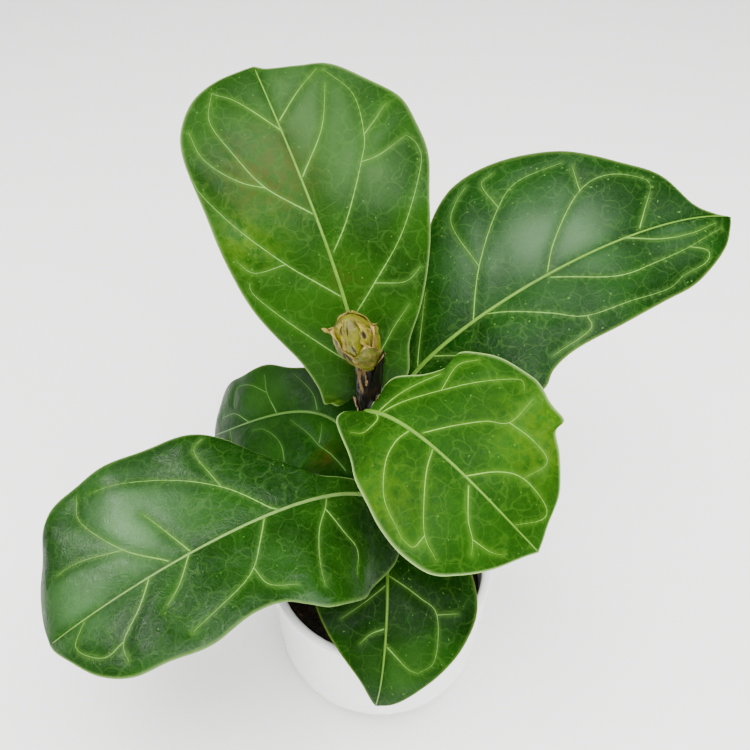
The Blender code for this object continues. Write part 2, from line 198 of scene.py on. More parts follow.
def smooth_line(points: object, count: int) -> np.ndarray:
    """Even points along a smooth line.

    Args:
        points: the points that the line passes through.
        count: how many to return.

    Returns:
        The points, one in each row.
    """
    given = np.array(points, float)
    ends = np.vstack([2 * given[0] - given[1], given, 2 * given[-1] - given[-2]])
    fine = []
    for i in range(len(given) - 1):
        p0, p1, p2, p3 = ends[i:i + 4]
        u = np.linspace(0, 1, 12, endpoint=False)[:, None]
        fine.append(0.5 * (2 * p1 + (p2 - p0) * u + (2 * p0 - 5 * p1 + 4 * p2 - p3) * u * u
                           + (3 * p1 - p0 - 3 * p2 + p3) * u ** 3))
    line = np.vstack(fine + [given[-1:]])
    run = np.r_[0, np.cumsum(np.linalg.norm(np.diff(line, axis=0), axis=1))]
    at = np.linspace(0, run[-1], count)
    return np.stack([np.interp(at, run, line[:, k]) for k in range(line.shape[1])], 1)


def bezier(points: np.ndarray, share: np.ndarray) -> np.ndarray:
    """Points on a cubic curve.

    Args:
        points: its four control points.
        share: shares of its parameter, 0 to 1.

    Returns:
        One point in each row.
    """
    a, b, c, d = points
    u = np.atleast_1d(share)[:, None]
    return a * (1 - u) ** 3 + 3 * b * u * (1 - u) ** 2 + 3 * c * u * u * (1 - u) + d * u ** 3


def bezier_slope(points: np.ndarray, share: np.ndarray) -> np.ndarray:
    """Directions of a cubic curve.

    Args:
        points: its four control points.
        share: shares of its parameter, 0 to 1.

    Returns:
        One unit vector in each row.
    """
    a, b, c, d = points
    u = np.atleast_1d(share)[:, None]
    return unit((b - a) * (1 - u) ** 2 + 2 * (c - b) * u * (1 - u) + (d - c) * u * u)


def grid_faces(rows: int, columns: int, wrap: bool = False) -> list[Face]:
    """Faces over a grid of points.

    Args:
        rows: rows of points.
        columns: points in each row.
        wrap: join the last column to the first.

    Returns:
        Faces with four corners.
    """
    faces = []
    for i in range(rows - 1):
        for j in range(columns if wrap else columns - 1):
            a = i * columns + j
            b = i * columns + (j + 1) % columns
            faces.append((a, b, b + columns, a + columns))
    return faces


def tube_faces(rows: int, sides: int) -> list[Face]:
    """Faces of a tube of rings with both ends closed.

    Args:
        rows: how many rings.
        sides: points in each ring.

    Returns:
        The walls, then the two ends.
    """
    last = (rows - 1) * sides
    ends = [tuple(range(sides))[::-1], tuple(range(last, last + sides))]
    return grid_faces(rows, sides, wrap=True) + ends


def close_skins(skin: list[Face], rim: list[int], count: int) -> list[Face]:
    """Join two like skins into a closed solid.

    Args:
        skin: faces of one skin, seen from outside the second.
        rim: its border points in order.
        count: points in each skin.

    Returns:
        Both skins, then the rim.
    """
    faces = [face[::-1] for face in skin] + [tuple(v + count for v in face) for face in skin]
    return faces + [(a, b, b + count, a + count) for a, b in zip(rim, rim[1:] + rim[:1])]


def slab_faces(rows: int, columns: int) -> list[Face]:
    """Faces of a closed slab made of two grids of points, the inner one first.

    Args:
        rows: rows in each grid.
        columns: points in each row.

    Returns:
        Both skins, then the rim.
    """
    rim = list(range(columns))
    rim += [i * columns + columns - 1 for i in range(1, rows)]
    rim += [(rows - 1) * columns + j for j in range(columns - 2, -1, -1)]
    rim += [i * columns for i in range(rows - 2, 0, -1)]
    return close_skins(grid_faces(rows, columns), rim, rows * columns)


def carried_frame(path: np.ndarray, start: np.ndarray) -> tuple[np.ndarray, np.ndarray]:
    """Sideways and upward directions carried along a path without twist.

    Args:
        path: points of the path.
        start: the upward direction at the first point.

    Returns:
        The sideways and the upward directions, one in each row.
    """
    forward = unit(np.gradient(path, axis=0))
    up = np.empty_like(path)
    now = np.array(start, float)
    for i, ahead in enumerate(forward):
        now = now - ahead * (now @ ahead)
        now = now / np.linalg.norm(now)
        up[i] = now
    return np.cross(forward, up), up


def ring_points(path: np.ndarray, side: np.ndarray, up: np.ndarray, wide: object, high: object,
                sides: int) -> np.ndarray:
    """Rings of points round a path.

    Args:
        path: centres of the rings.
        side: sideways direction of each ring.
        up: upward direction of each ring.
        wide: half width of each ring, or of each of its points.
        high: half height, likewise.
        sides: points in each ring.

    Returns:
        The points, ring after ring.
    """
    angle = 2 * math.pi * np.arange(sides) / sides
    wide = np.asarray(wide, float)
    high = np.asarray(high, float)
    wide = wide[:, None] if wide.ndim == 1 else wide
    high = high[:, None] if high.ndim == 1 else high
    flat = (wide * np.cos(angle))[..., None] * side[:, None, :]
    tall = (high * np.sin(angle))[..., None] * up[:, None, :]
    return (path[:, None, :] + flat + tall).reshape(-1, 3)


class Unevenness:
    """A smooth seeded roughness made of a few crossed waves."""

    def __init__(self, seed: int, longest: float, shortest: float, count: int = 9) -> None:
        """Choose the waves.

        Args:
            seed: picks the pattern.
            longest: the longest wave, in the same units as the places.
            shortest: the shortest wave.
            count: how many waves.
        """
        rng = np.random.default_rng(seed)
        lengths = np.geomspace(longest, shortest, count)
        heading = unit(rng.normal(size=(count, 3)))
        self.waves = heading * (2 * math.pi / lengths)[:, None]
        self.phase = rng.uniform(0, 2 * math.pi, count)
        self.height = (lengths / longest) ** 0.6

    def at(self, places: np.ndarray) -> np.ndarray:
        """Heights at places.

        Args:
            places: n by 3.

        Returns:
            One number of about -1 to 1 for each place.
        """
        total = np.sin(places @ self.waves.T + self.phase) @ self.height
        return total / (0.75 * self.height.sum())

    def over(self, x: np.ndarray, y: np.ndarray, z: object) -> np.ndarray:
        """Measure the roughness over a grid of places.

        Args:
            x: a grid of distances.
            y: the same across.
            z: the same upwards, or one number.

        Returns:
            A grid of numbers of about -1 to 1.
        """
        places = np.stack(np.broadcast_arrays(x, y, z), -1)
        return self.at(places.reshape(-1, 3)).reshape(x.shape)


# ---------------------------------------------------------------- shared material code


class Paint:
    """Adds nodes to one procedural material.

    The Mix node has sockets of one name for each kind of value, so its colours go by number.
    """

    COLOUR_A = 6
    COLOUR_B = 7
    COLOUR_OUT = 2

    def __init__(self, name: str) -> None:
        """Start a material.

        Args:
            name: the material's name.
        """
        self.material = bpy.data.materials.new(name)
        self.material.use_nodes = True
        self.nodes = self.material.node_tree.nodes
        self.links = self.material.node_tree.links
        self.shader = self.nodes["Principled BSDF"]

    def node(self, kind: str, inputs: dict[object, object], **settings: object) -> bpy.types.Node:
        """Add a node.

        Args:
            kind: the node's type, without its ShaderNode prefix.
            inputs: values or sockets by input name or number.
            settings: the node's own properties.

        Returns:
            The new node.
        """
        node = self.nodes.new("ShaderNode" + kind)
        for key, value in settings.items():
            setattr(node, key, value)
        for key, value in inputs.items():
            self.feed(node.inputs[key], value)
        return node

    def feed(self, socket: bpy.types.NodeSocket, value: object) -> None:
        """Link a socket to another one, or set its value.

        Args:
            socket: the input to feed.
            value: a socket, a number, a vector or a colour.
        """
        if isinstance(value, bpy.types.NodeSocket):
            self.links.new(value, socket)
        elif isinstance(value, tuple) and len(value) == 3 and socket.type == "RGBA":
            socket.default_value = (*value, 1.0)
        else:
            socket.default_value = value

    def value(self, name: str) -> bpy.types.NodeSocket:
        """One of the mesh's named numbers."""
        return self.node("Attribute", {}, attribute_name=name).outputs["Fac"]

    def vector(self, name: str) -> bpy.types.NodeSocket:
        """One of the mesh's named vectors."""
        return self.node("Attribute", {}, attribute_name=name).outputs["Vector"]

    def here(self) -> bpy.types.NodeSocket:
        """The point on the object, in metres."""
        return self.node("TexCoord", {}).outputs["Object"]

    def noise(self, where: bpy.types.NodeSocket, scale: float, detail: float = 3.0) -> bpy.types.NodeSocket:
        """Fractal noise, about 0.3 to 0.7."""
        inputs = {"Vector": where, "Scale": scale, "Detail": detail, "Roughness": 0.55}
        return self.node("TexNoise", inputs).outputs["Fac"]

    def warp(self, where: bpy.types.NodeSocket, scale: float, reach: float) -> bpy.types.NodeSocket:
        """Push places about with noise.

        Args:
            where: the places.
            scale: how fine the noise is.
            reach: about twice the furthest push.

        Returns:
            The pushed places.
        """
        push = self.node("TexNoise", {"Vector": where, "Scale": scale, "Detail": 1.0}).outputs["Color"]
        centred = self.node("VectorMath", {0: push, 1: (0.5, 0.5, 0.5)}, operation="SUBTRACT").outputs[0]
        scaled = self.node("VectorMath", {0: centred, "Scale": reach}, operation="SCALE").outputs[0]
        return self.node("VectorMath", {0: where, 1: scaled}, operation="ADD").outputs[0]

    def cells(self, where: bpy.types.NodeSocket, scale: float) -> bpy.types.NodeSocket:
        """Distance to the edge of the nearest cell of a net."""
        inputs = {"Vector": where, "Scale": scale}
        return self.node("TexVoronoi", inputs, feature="DISTANCE_TO_EDGE").outputs["Distance"]

    def fit(self, value: bpy.types.NodeSocket, low: float, high: float, start: float = 0.0,
            end: float = 1.0) -> bpy.types.NodeSocket:
        """Map low to high smoothly onto start to end."""
        inputs = {"Value": value, "From Min": low, "From Max": high, "To Min": start, "To Max": end}
        return self.node("MapRange", inputs, interpolation_type="SMOOTHSTEP").outputs["Result"]

    def plus(self, a: object, b: object) -> bpy.types.NodeSocket:
        """The sum, held between 0 and 1."""
        return self.node("Math", {0: a, 1: b}, operation="ADD", use_clamp=True).outputs[0]

    def times(self, a: object, b: object) -> bpy.types.NodeSocket:
        """The product, held between 0 and 1."""
        return self.node("Math", {0: a, 1: b}, operation="MULTIPLY", use_clamp=True).outputs[0]

    def mix(self, factor: object, a: object, b: object) -> bpy.types.NodeSocket:
        """Blend two colours.

        Args:
            factor: 0 for the first to 1 for the second.
            a: the first colour.
            b: the second colour.

        Returns:
            The blended colour.
        """
        inputs = {"Factor": factor, self.COLOUR_A: a, self.COLOUR_B: b}
        return self.node("Mix", inputs, data_type="RGBA").outputs[self.COLOUR_OUT]

    def bump(self, height: bpy.types.NodeSocket, strength: float, distance: float) -> bpy.types.NodeSocket:
        """Fine relief from a height."""
        inputs = {"Height": height, "Strength": strength, "Distance": distance}
        return self.node("Bump", inputs).outputs["Normal"]

    def dress(self, **sockets: object) -> bpy.types.Material:
        """Feed the shader and give back the material.

        Args:
            sockets: values or sockets by the shader's input names, with _ for each space.

        Returns:
            The finished material.
        """
        for key, value in sockets.items():
            self.feed(self.shader.inputs[key.replace("_", " ")], value)
        return self.material


# ---------------------------------------------------------------- leaves


@dataclass(frozen=True)
class LeafFinish:
    """Colours and gloss of one leaf.

    Attributes:
        deep: the darker green.
        light: the lighter green.
        vein: side veins and the net.
        rib: midrib and stalk.
        margin: the thin edge.
        gloss: the blade's roughness.
        shine: the blade's specular level.
        net: strength of the pale net of fine veins.
        yellow: colour of yellowing patches.
        bronze: colour of brown patches.
        painted_sheen: colour of the painted sheen, a pale green laid where the lights' reflection falls.
        under: what pales the underside.
        scar: the foot of the stalk.
    """

    deep: Colour
    light: Colour
    vein: Colour = (0.11, 0.25, 0.035)
    rib: Colour = (0.08, 0.18, 0.013)
    margin: Colour = (0.08, 0.14, 0.02)
    gloss: float = 0.35
    shine: float = 0.22
    net: float = 0.075
    yellow: Colour = (0.035, 0.085, 0.001)
    bronze: Colour = (0.026, 0.022, 0.002)
    # painted sheen colour, standing in for the lights' reflection on the blade
    painted_sheen: Colour = (0.018, 0.06, 0.008)
    under: Colour = (0.045, 0.1, 0.018)
    scar: Colour = (0.16, 0.11, 0.05)

    def blade(self, name: str) -> bpy.types.Material:
        """Mix the blade's material.

        Args:
            name: the leaf's name.

        Returns:
            The material.
        """
        paint = Paint(name + "_blade")
        place = paint.vector("place")
        broad = paint.noise(place, 0.028, 2.0)
        small = paint.noise(place, 0.22, 4.0)
        colour = paint.mix(paint.fit(broad, 0.35, 0.68), self.deep, self.light)
        colour = paint.mix(paint.fit(small, 0.45, 0.75, 0.0, 0.35), colour, self.light)
        bent = paint.warp(place, 0.12, 9.0)
        wide_net = paint.fit(paint.cells(bent, 0.11), 0.0, 0.06, 1.0, 0.0)
        fine_net = paint.fit(paint.cells(bent, 0.36), 0.0, 0.11, 1.0, 0.0)
        lines = paint.plus(paint.times(wide_net, self.net), paint.times(fine_net, self.net * 0.42))
        colour = paint.mix(lines, colour, self.vein)
        specks = paint.fit(paint.noise(place, 0.75, 0.0), 0.81, 0.85, 0.0, 0.4)
        colour = paint.mix(specks, colour, self.vein)
        blotch = paint.fit(small, 0.32, 0.62)
        # The sheen kind of mark is painted sheen: a pale tint laid where the lights' reflection falls, broken
        # up by this broad noise.
        even = paint.fit(broad, 0.3, 0.7, 0.7, 1.0)
        for mark, tint, texture in ((Mark.YELLOW, self.yellow, blotch), (Mark.BRONZE, self.bronze, blotch),
                                    (Mark.PAINTED_SHEEN, self.painted_sheen, even)):
            colour = paint.mix(paint.times(paint.value(mark.value), texture), colour, tint)
        colour = paint.mix(paint.times(paint.value("vein"), 0.18), colour, self.vein)
        colour = paint.mix(paint.value("edge"), colour, self.margin)
        pale_under = tuple(0.5 * c + 0.5 * d for c, d in zip(self.light, self.under))
        colour = paint.mix(paint.times(paint.value("under"), 0.75), colour, pale_under)
        quilt = paint.fit(paint.cells(bent, 0.36), 0.0, 0.3, 0.0, 0.45)
        height = paint.plus(quilt, paint.fit(paint.noise(place, 1.6), 0.3, 0.7, 0.0, 0.3))
        rough = paint.fit(small, 0.3, 0.7, self.gloss - 0.05, self.gloss + 0.08)
        return paint.dress(Base_Color=colour, Roughness=rough, Normal=paint.bump(height, 0.35, 0.0003),
                           Specular_IOR_Level=self.shine)

    def ribs(self, name: str) -> bpy.types.Material:
        """Mix the material of the veins, midrib and stalk.

        Args:
            name: the leaf's name.

        Returns:
            The material.
        """
        paint = Paint(name + "_rib")
        place = paint.here()
        colour = paint.mix(paint.value("rib"), self.vein, self.rib)
        dull = tuple(c * 0.55 for c in self.rib)
        colour = paint.mix(paint.fit(paint.noise(place, 160.0), 0.45, 0.75, 0.0, 0.5), colour, dull)
        colour = paint.mix(paint.value("scar"), colour, self.scar)
        height = paint.noise(place, 900.0)
        return paint.dress(Base_Color=colour, Roughness=0.45, Normal=paint.bump(height, 0.2, 0.0002))


@dataclass(frozen=True)
class LeafPlan:
    """The form of one leaf, in millimetres from the centre of the pot's rim.

    Attributes:
        node: the CAD node that it stands for.
        stalk_height: where the stalk leaves the stem.
        midrib: four control points of a cubic curve.
        face_base: the way the upper face looks at the stalk.
        face_tip: the way it looks at the tip.
        left: outline of the left half as (along, out).
        right: outline of the right half.
        left_veins: side veins of the left half, those from the midrib first.
        right_veins: side veins of the right half.
        finish: colours.
        marks: patches as (kind, along, out, radius, strength): real bronze and yellowing patches, and painted
            sheen.
        fold: degrees that each half rises from the midrib.
        curl: radians per metre that each half bends back down.
        wave: height, number and phase of the edge's waves.
        uneven: height of the blade's broad unevenness.
        seed: picks the small irregularities.
    """

    node: str
    stalk_height: float
    midrib: tuple[tuple[float, float, float], ...]
    face_base: tuple[float, float, float]
    face_tip: tuple[float, float, float]
    left: tuple[Place, ...]
    right: tuple[Place, ...]
    left_veins: tuple[tuple[Place, ...], ...]
    right_veins: tuple[tuple[Place, ...], ...]
    finish: LeafFinish
    marks: tuple[tuple[Mark, float, float, float, float], ...] = ()
    fold: tuple[float, float] = (6.0, 6.0)
    curl: tuple[float, float] = (3.0, 3.0)
    wave: tuple[float, float, float] = (1.2, 4.0, 0.0)
    uneven: float = 0.7
    seed: int = 1


# Each plan's sheen marks and its finish's sheen colour are painted sheen: pale patches set where the lights'
# reflection falls on the blade.
LEAF_PLANS: tuple[LeafPlan, ...] = (
    LeafPlan(
        node="leaf_back", stalk_height=107,
        midrib=((-9, 12, 127), (-11, 15, 174), (-35, 47, 224), (-62, 108, 252)),
        face_base=(0.0, -0.95, 0.3), face_tip=(0.1, -0.7, 0.7),
        left=((-6, 8), (-9, 13.5), (-6.5, 17), (-7, 20), (-2, 21), (6, 22.5), (22, 28), (42, 37),
              (62, 44), (82, 47), (110, 48), (138, 48), (154, 44), (166, 34), (172, 20), (174, 7)),
        right=((-2, 8), (0, 14), (9, 23), (25, 26), (42, 36), (62, 46), (82, 53), (100, 60), (115, 60),
               (131, 57), (147, 46), (160, 33), (165, 20), (170, 6)),
        left_veins=(
            ((15, -1), (27, -13), (48, -29), (66, -40), (72, -40)),
            ((52, -1), (62, -10), (75, -21), (98, -36), (120, -46), (131, -48)),
            ((93, -1), (112, -17), (132, -25), (152, -30), (166, -24)),
            ((136, 0), (157, -14), (165, -23)),
            ((75, -21), (76, -36), (84, -42)),
            ((112, -17), (120, -28), (135, -39), (151, -41)),
        ),
        right_veins=(
            ((12, 1), (22, 11), (33, 20), (41, 29)),
            ((43, 4), (54, 16), (72, 36), (97, 55), (107, 56), (111, 53)),
            ((73, 2), (86, 14), (107, 29), (118, 35), (140, 38), (157, 30)),
            ((111, 1), (129, 18), (150, 28)),
            ((141, 1), (151, 14), (159, 27)),
            ((54, 16), (51, 30), (55, 39)),
            ((107, 29), (107, 38), (111, 53)),
            ((118, 35), (123, 43), (128, 50)),
        ),
        # painted sheen: its sheen colour and sheen marks stand in for the lights' reflection
        finish=LeafFinish(deep=(0.0042, 0.024, 0.001), light=(0.01, 0.047, 0.0016),
                          margin=(0.12, 0.2, 0.05), shine=0.06, yellow=(0.08, 0.15, 0.006),
                          bronze=(0.04, 0.034, 0.006), painted_sheen=(0.045, 0.095, 0.03)),
        marks=((Mark.BRONZE, 120, -13, 22, 0.75), (Mark.BRONZE, 60, 3, 10, 0.35),
               (Mark.YELLOW, 92, -34, 15, 0.35), (Mark.YELLOW, -8, -17, 5.5, 1.0),
               (Mark.PAINTED_SHEEN, 142, 14, 28, 0.8), (Mark.PAINTED_SHEEN, 104, 29, 18, 0.6), (Mark.PAINTED_SHEEN, 136, -22, 20, 0.35)),
        wave=(1.2, 4, 0.5), seed=11,
    ),
    LeafPlan(
        node="leaf_right", stalk_height=90,
        midrib=((14, 30, 115), (34, 42, 146), (130, 76, 194), (181, 84, 182)),
        face_base=(-0.35, -0.6, 0.75), face_tip=(-0.1, -0.6, 0.8),
        left=((-7, 12), (-4, 26), (10, 36), (28, 42), (46, 46), (60, 59), (74, 67), (91, 69),
              (108, 65), (126, 56), (145, 41), (162, 27), (174, 8), (185, 1.5)),
        right=((-7, 12), (-3, 28), (14, 40), (36, 46), (56, 50), (68, 44), (84, 41), (112, 41),
               (142, 38), (160, 35), (176, 27), (188, 17), (193, 6)),
        left_veins=(
            ((10, -1), (24, -14), (37, -28)),
            ((47, 0), (65, -22), (88, -44), (102, -52), (123, -50)),
            ((92, -1), (103, -14), (125, -32), (141, -34), (156, -25), (155, -18)),
            ((144, -2), (155, -18)),
            ((65, -22), (65, -48), (72, -58), (80, -63)),
            ((88, -44), (87, -60), (94, -63)),
            ((125, -32), (127, -46)),
        ),
        right_veins=(
            ((20, 1), (34, 14), (44, 30)),
            ((55, 1), (64, 6), (83, 19), (98, 29), (124, 32), (144, 33), (155, 29)),
            ((92, 2), (121, 17), (143, 18), (165, 15), (187, 7)),
            ((135, 0), (152, 7), (169, 8), (184, 4)),
            ((98, 29), (95, 36), (71, 38)),
            ((165, 15), (175, 19), (171, 25), (155, 29)),
        ),
        # painted sheen: its sheen colour and sheen marks stand in for the lights' reflection
        finish=LeafFinish(deep=(0.0014, 0.015, 0.0005), light=(0.004, 0.03, 0.0014), gloss=0.32,
                          shine=0.09, painted_sheen=(0.05, 0.1, 0.045)),
        marks=((Mark.PAINTED_SHEEN, 96, -17, 20, 0.9), (Mark.PAINTED_SHEEN, 112, -12, 22, 0.8), (Mark.PAINTED_SHEEN, 70, -24, 18, 0.5),
               (Mark.PAINTED_SHEEN, 160, 6, 16, 0.4)),
        wave=(1.0, 3, 1.2), seed=22,
    ),
    LeafPlan(
        node="leaf_left", stalk_height=52,
        midrib=((-7, -11, 72), (-42, -16, 93), (-126, -78, 81), (-160, -84, 48)),
        face_base=(0.0, -0.3, 0.95), face_tip=(-0.4, -0.3, 0.85),
        left=((-12, 8), (-19, 20), (-18, 32), (-8, 44), (6, 53), (26, 57), (46, 57), (57, 51),
              (68, 45), (84, 44), (106, 47), (126, 44), (142, 41), (156, 31), (168, 15), (176, 5)),
        right=((3, 6.5), (14, 9.5), (25, 12.5), (36, 22), (47, 34), (60, 51), (74, 61), (92, 66),
               (110, 69), (130, 70), (149, 68), (161, 60), (171, 43), (178, 26), (180, 12)),
        left_veins=(
            ((24, -1), (27, -7), (35, -18), (42, -34), (45, -46)),
            ((58, -1), (66, -13), (74, -23), (86, -30), (112, -37)),
            ((98, 0), (108, -12), (117, -19)),
            ((120, -1), (129, -12), (141, -23), (142, -33)),
            ((27, -7), (21, -21), (14, -32), (20, -44)),
            ((74, -23), (71, -34), (58, -40)),
            ((141, -23), (152, -24), (163, -11), (156, -1)),
        ),
        right_veins=(
            ((50, 1), (53, 3), (70, 24), (97, 46), (129, 60)),
            ((97, 1), (109, 32)),
            ((108, 2), (125, 20), (140, 49), (137, 63)),
            ((70, 24), (74, 48), (68, 54)),
            ((125, 20), (147, 28), (162, 29)),
        ),
        # painted sheen: its sheen colour and sheen marks stand in for the lights' reflection
        finish=LeafFinish(deep=(0.002, 0.018, 0.0003), light=(0.0055, 0.036, 0.0006), rib=(0.1, 0.19, 0.035),
                          margin=(0.11, 0.2, 0.045), gloss=0.3, shine=0.2, painted_sheen=(0.06, 0.13, 0.05)),
        marks=((Mark.PAINTED_SHEEN, 118, 31, 28, 0.8), (Mark.PAINTED_SHEEN, 152, 8, 22, 0.6)),
        wave=(1.0, 4, 2.0), seed=33,
    ),
    LeafPlan(
        node="leaf_back_left", stalk_height=60,
        midrib=((-12, 8, 78), (-22, 32, 120), (-75, 30, 82), (-98, 53, 50)),
        face_base=(0.1, -0.4, 0.9), face_tip=(-0.2, -0.4, 0.85),
        left=((-10, 5), (-10.5, 13), (-6, 26), (8, 37), (36, 40), (60, 38), (84, 35), (102, 27),
              (114, 15), (120, 6)),
        right=((-6, 8), (-2, 18), (14, 24), (36, 26), (54, 26), (70, 31), (88, 30), (106, 30),
               (118, 26), (124, 15), (124, 6)),
        left_veins=(
            ((-3, -8), (10, -13), (25, -16), (42, -10), (51, -5)),
            ((49, -29), (54, -20), (61, -13), (71, -7), (79, -6)),
            ((25, -15), (28, -10), (31, -5)),
            ((101, -1), (97, -9), (97, -18)),
        ),
        right_veins=(
            ((37, 2), (42, 11), (53, 22)),
            ((62, 1), (69, 14), (71, 25)),
            ((83, 0), (96, 8), (111, 9)),
            ((69, 14), (83, 22), (96, 23), (97, 12)),
        ),
        finish=LeafFinish(deep=(0.0018, 0.019, 0.0003), light=(0.006, 0.04, 0.0006), vein=(0.05, 0.14, 0.018),
                          rib=(0.05, 0.13, 0.012), shine=0.07),
        # painted sheen: its sheen marks stand in for the lights' reflection
        marks=((Mark.PAINTED_SHEEN, 66, 14, 26, 0.7), (Mark.BRONZE, 12, -17, 9, 0.7)),
        wave=(0.8, 3, 0.0), seed=44,
    ),
    LeafPlan(
        node="leaf_young", stalk_height=108,
        midrib=((-5.5, -11, 135), (15, -24, 144), (42, -64, 140), (70, -72, 107)),
        face_base=(0.0, -0.4, 0.92), face_tip=(0.2, -0.6, 0.75),
        left=((-0.5, 4), (1, 9), (1.5, 15), (4, 20), (9, 23.5), (14, 27.5), (19, 36), (19, 46), (26, 51),
              (38, 56), (50, 57), (62, 53), (73, 52), (74, 45), (83, 38), (96, 26), (102, 12), (105, 6)),
        right=((-6, 0.6), (-15, 2.4), (-17, 7), (-11, 14), (0, 23), (10, 29), (22, 35), (37, 40),
               (50, 44), (64, 45), (77, 42), (86, 33), (94, 22), (102, 8)),
        left_veins=(
            ((5, -1), (11, -15), (19, -31)),
            ((7, -1), (24, -24), (33, -37), (45, -52), (50, -49)),
            ((31, -2), (47, -24), (56, -32), (56, -48)),
            ((59, 0), (68, -12), (78, -18), (94, -17), (98, -12), (90, -1)),
            ((24, -24), (22, -39), (27, -47)),
            ((56, -32), (70, -34), (81, -31), (78, -18)),
        ),
        right_veins=(
            ((4, 0), (7, 4), (4, 12), (-4, 13)),
            ((25, 1), (24, 9), (28, 20), (41, 33), (59, 40)),
            ((40, 1), (45, 10), (54, 21), (65, 32), (75, 36)),
            ((63, 2), (73, 13), (80, 18), (84, 23)),
            ((65, 32), (65, 39), (59, 40)),
            ((80, 18), (89, 16), (94, 13)),
        ),
        finish=LeafFinish(deep=(0.0055, 0.033, 0.0008), light=(0.012, 0.058, 0.0016), vein=(0.12, 0.27, 0.022),
                          rib=(0.08, 0.18, 0.012), margin=(0.2, 0.32, 0.09), gloss=0.48, shine=0.06,
                          yellow=(0.045, 0.095, 0.001)),
        marks=((Mark.YELLOW, 70, -38, 22, 0.6), (Mark.YELLOW, 40, 34, 22, 0.4)),
        fold=(4, 4), curl=(2, 2), wave=(0.8, 4, 0.8), uneven=0.5, seed=55,
    ),
    LeafPlan(
        node="leaf_front", stalk_height=20,
        midrib=((2, -12, 38), (5, -34, 46), (3, -84, 17), (-3, -85, -10)),
        face_base=(0.0, -0.2, 0.95), face_tip=(0.0, -0.9, 0.3),
        left=((-6, 12), (-2, 28), (10, 39), (25, 45), (42, 47), (57, 41), (70, 31), (82, 19),
              (92, 8)),
        right=((-6, 12), (-2, 26), (10, 36), (26, 40), (40, 38), (53, 32), (66, 23), (80, 11),
               (92, 3)),
        left_veins=(
            ((8, -1), (18, -16), (24, -32)),
            ((25, -1), (36, -17), (44, -26), (65, -26), (72, -18)),
            ((61, -1), (70, -12), (72, -18)),
            ((44, -26), (43, -37)),
        ),
        right_veins=(
            ((10, 1), (20, 15), (30, 28)),
            ((30, 1), (40, 13), (48, 24)),
            ((52, 1), (55, 8), (60, 13)),
        ),
        finish=LeafFinish(deep=(0.0014, 0.014, 0.0003), light=(0.0045, 0.032, 0.0006), shine=0.07),
        # painted sheen: its sheen mark stands in for the lights' reflection
        marks=((Mark.PAINTED_SHEEN, 72, -8, 16, 0.9),),
        wave=(0.8, 3, 1.0), uneven=0.5, seed=66,
    ),
)


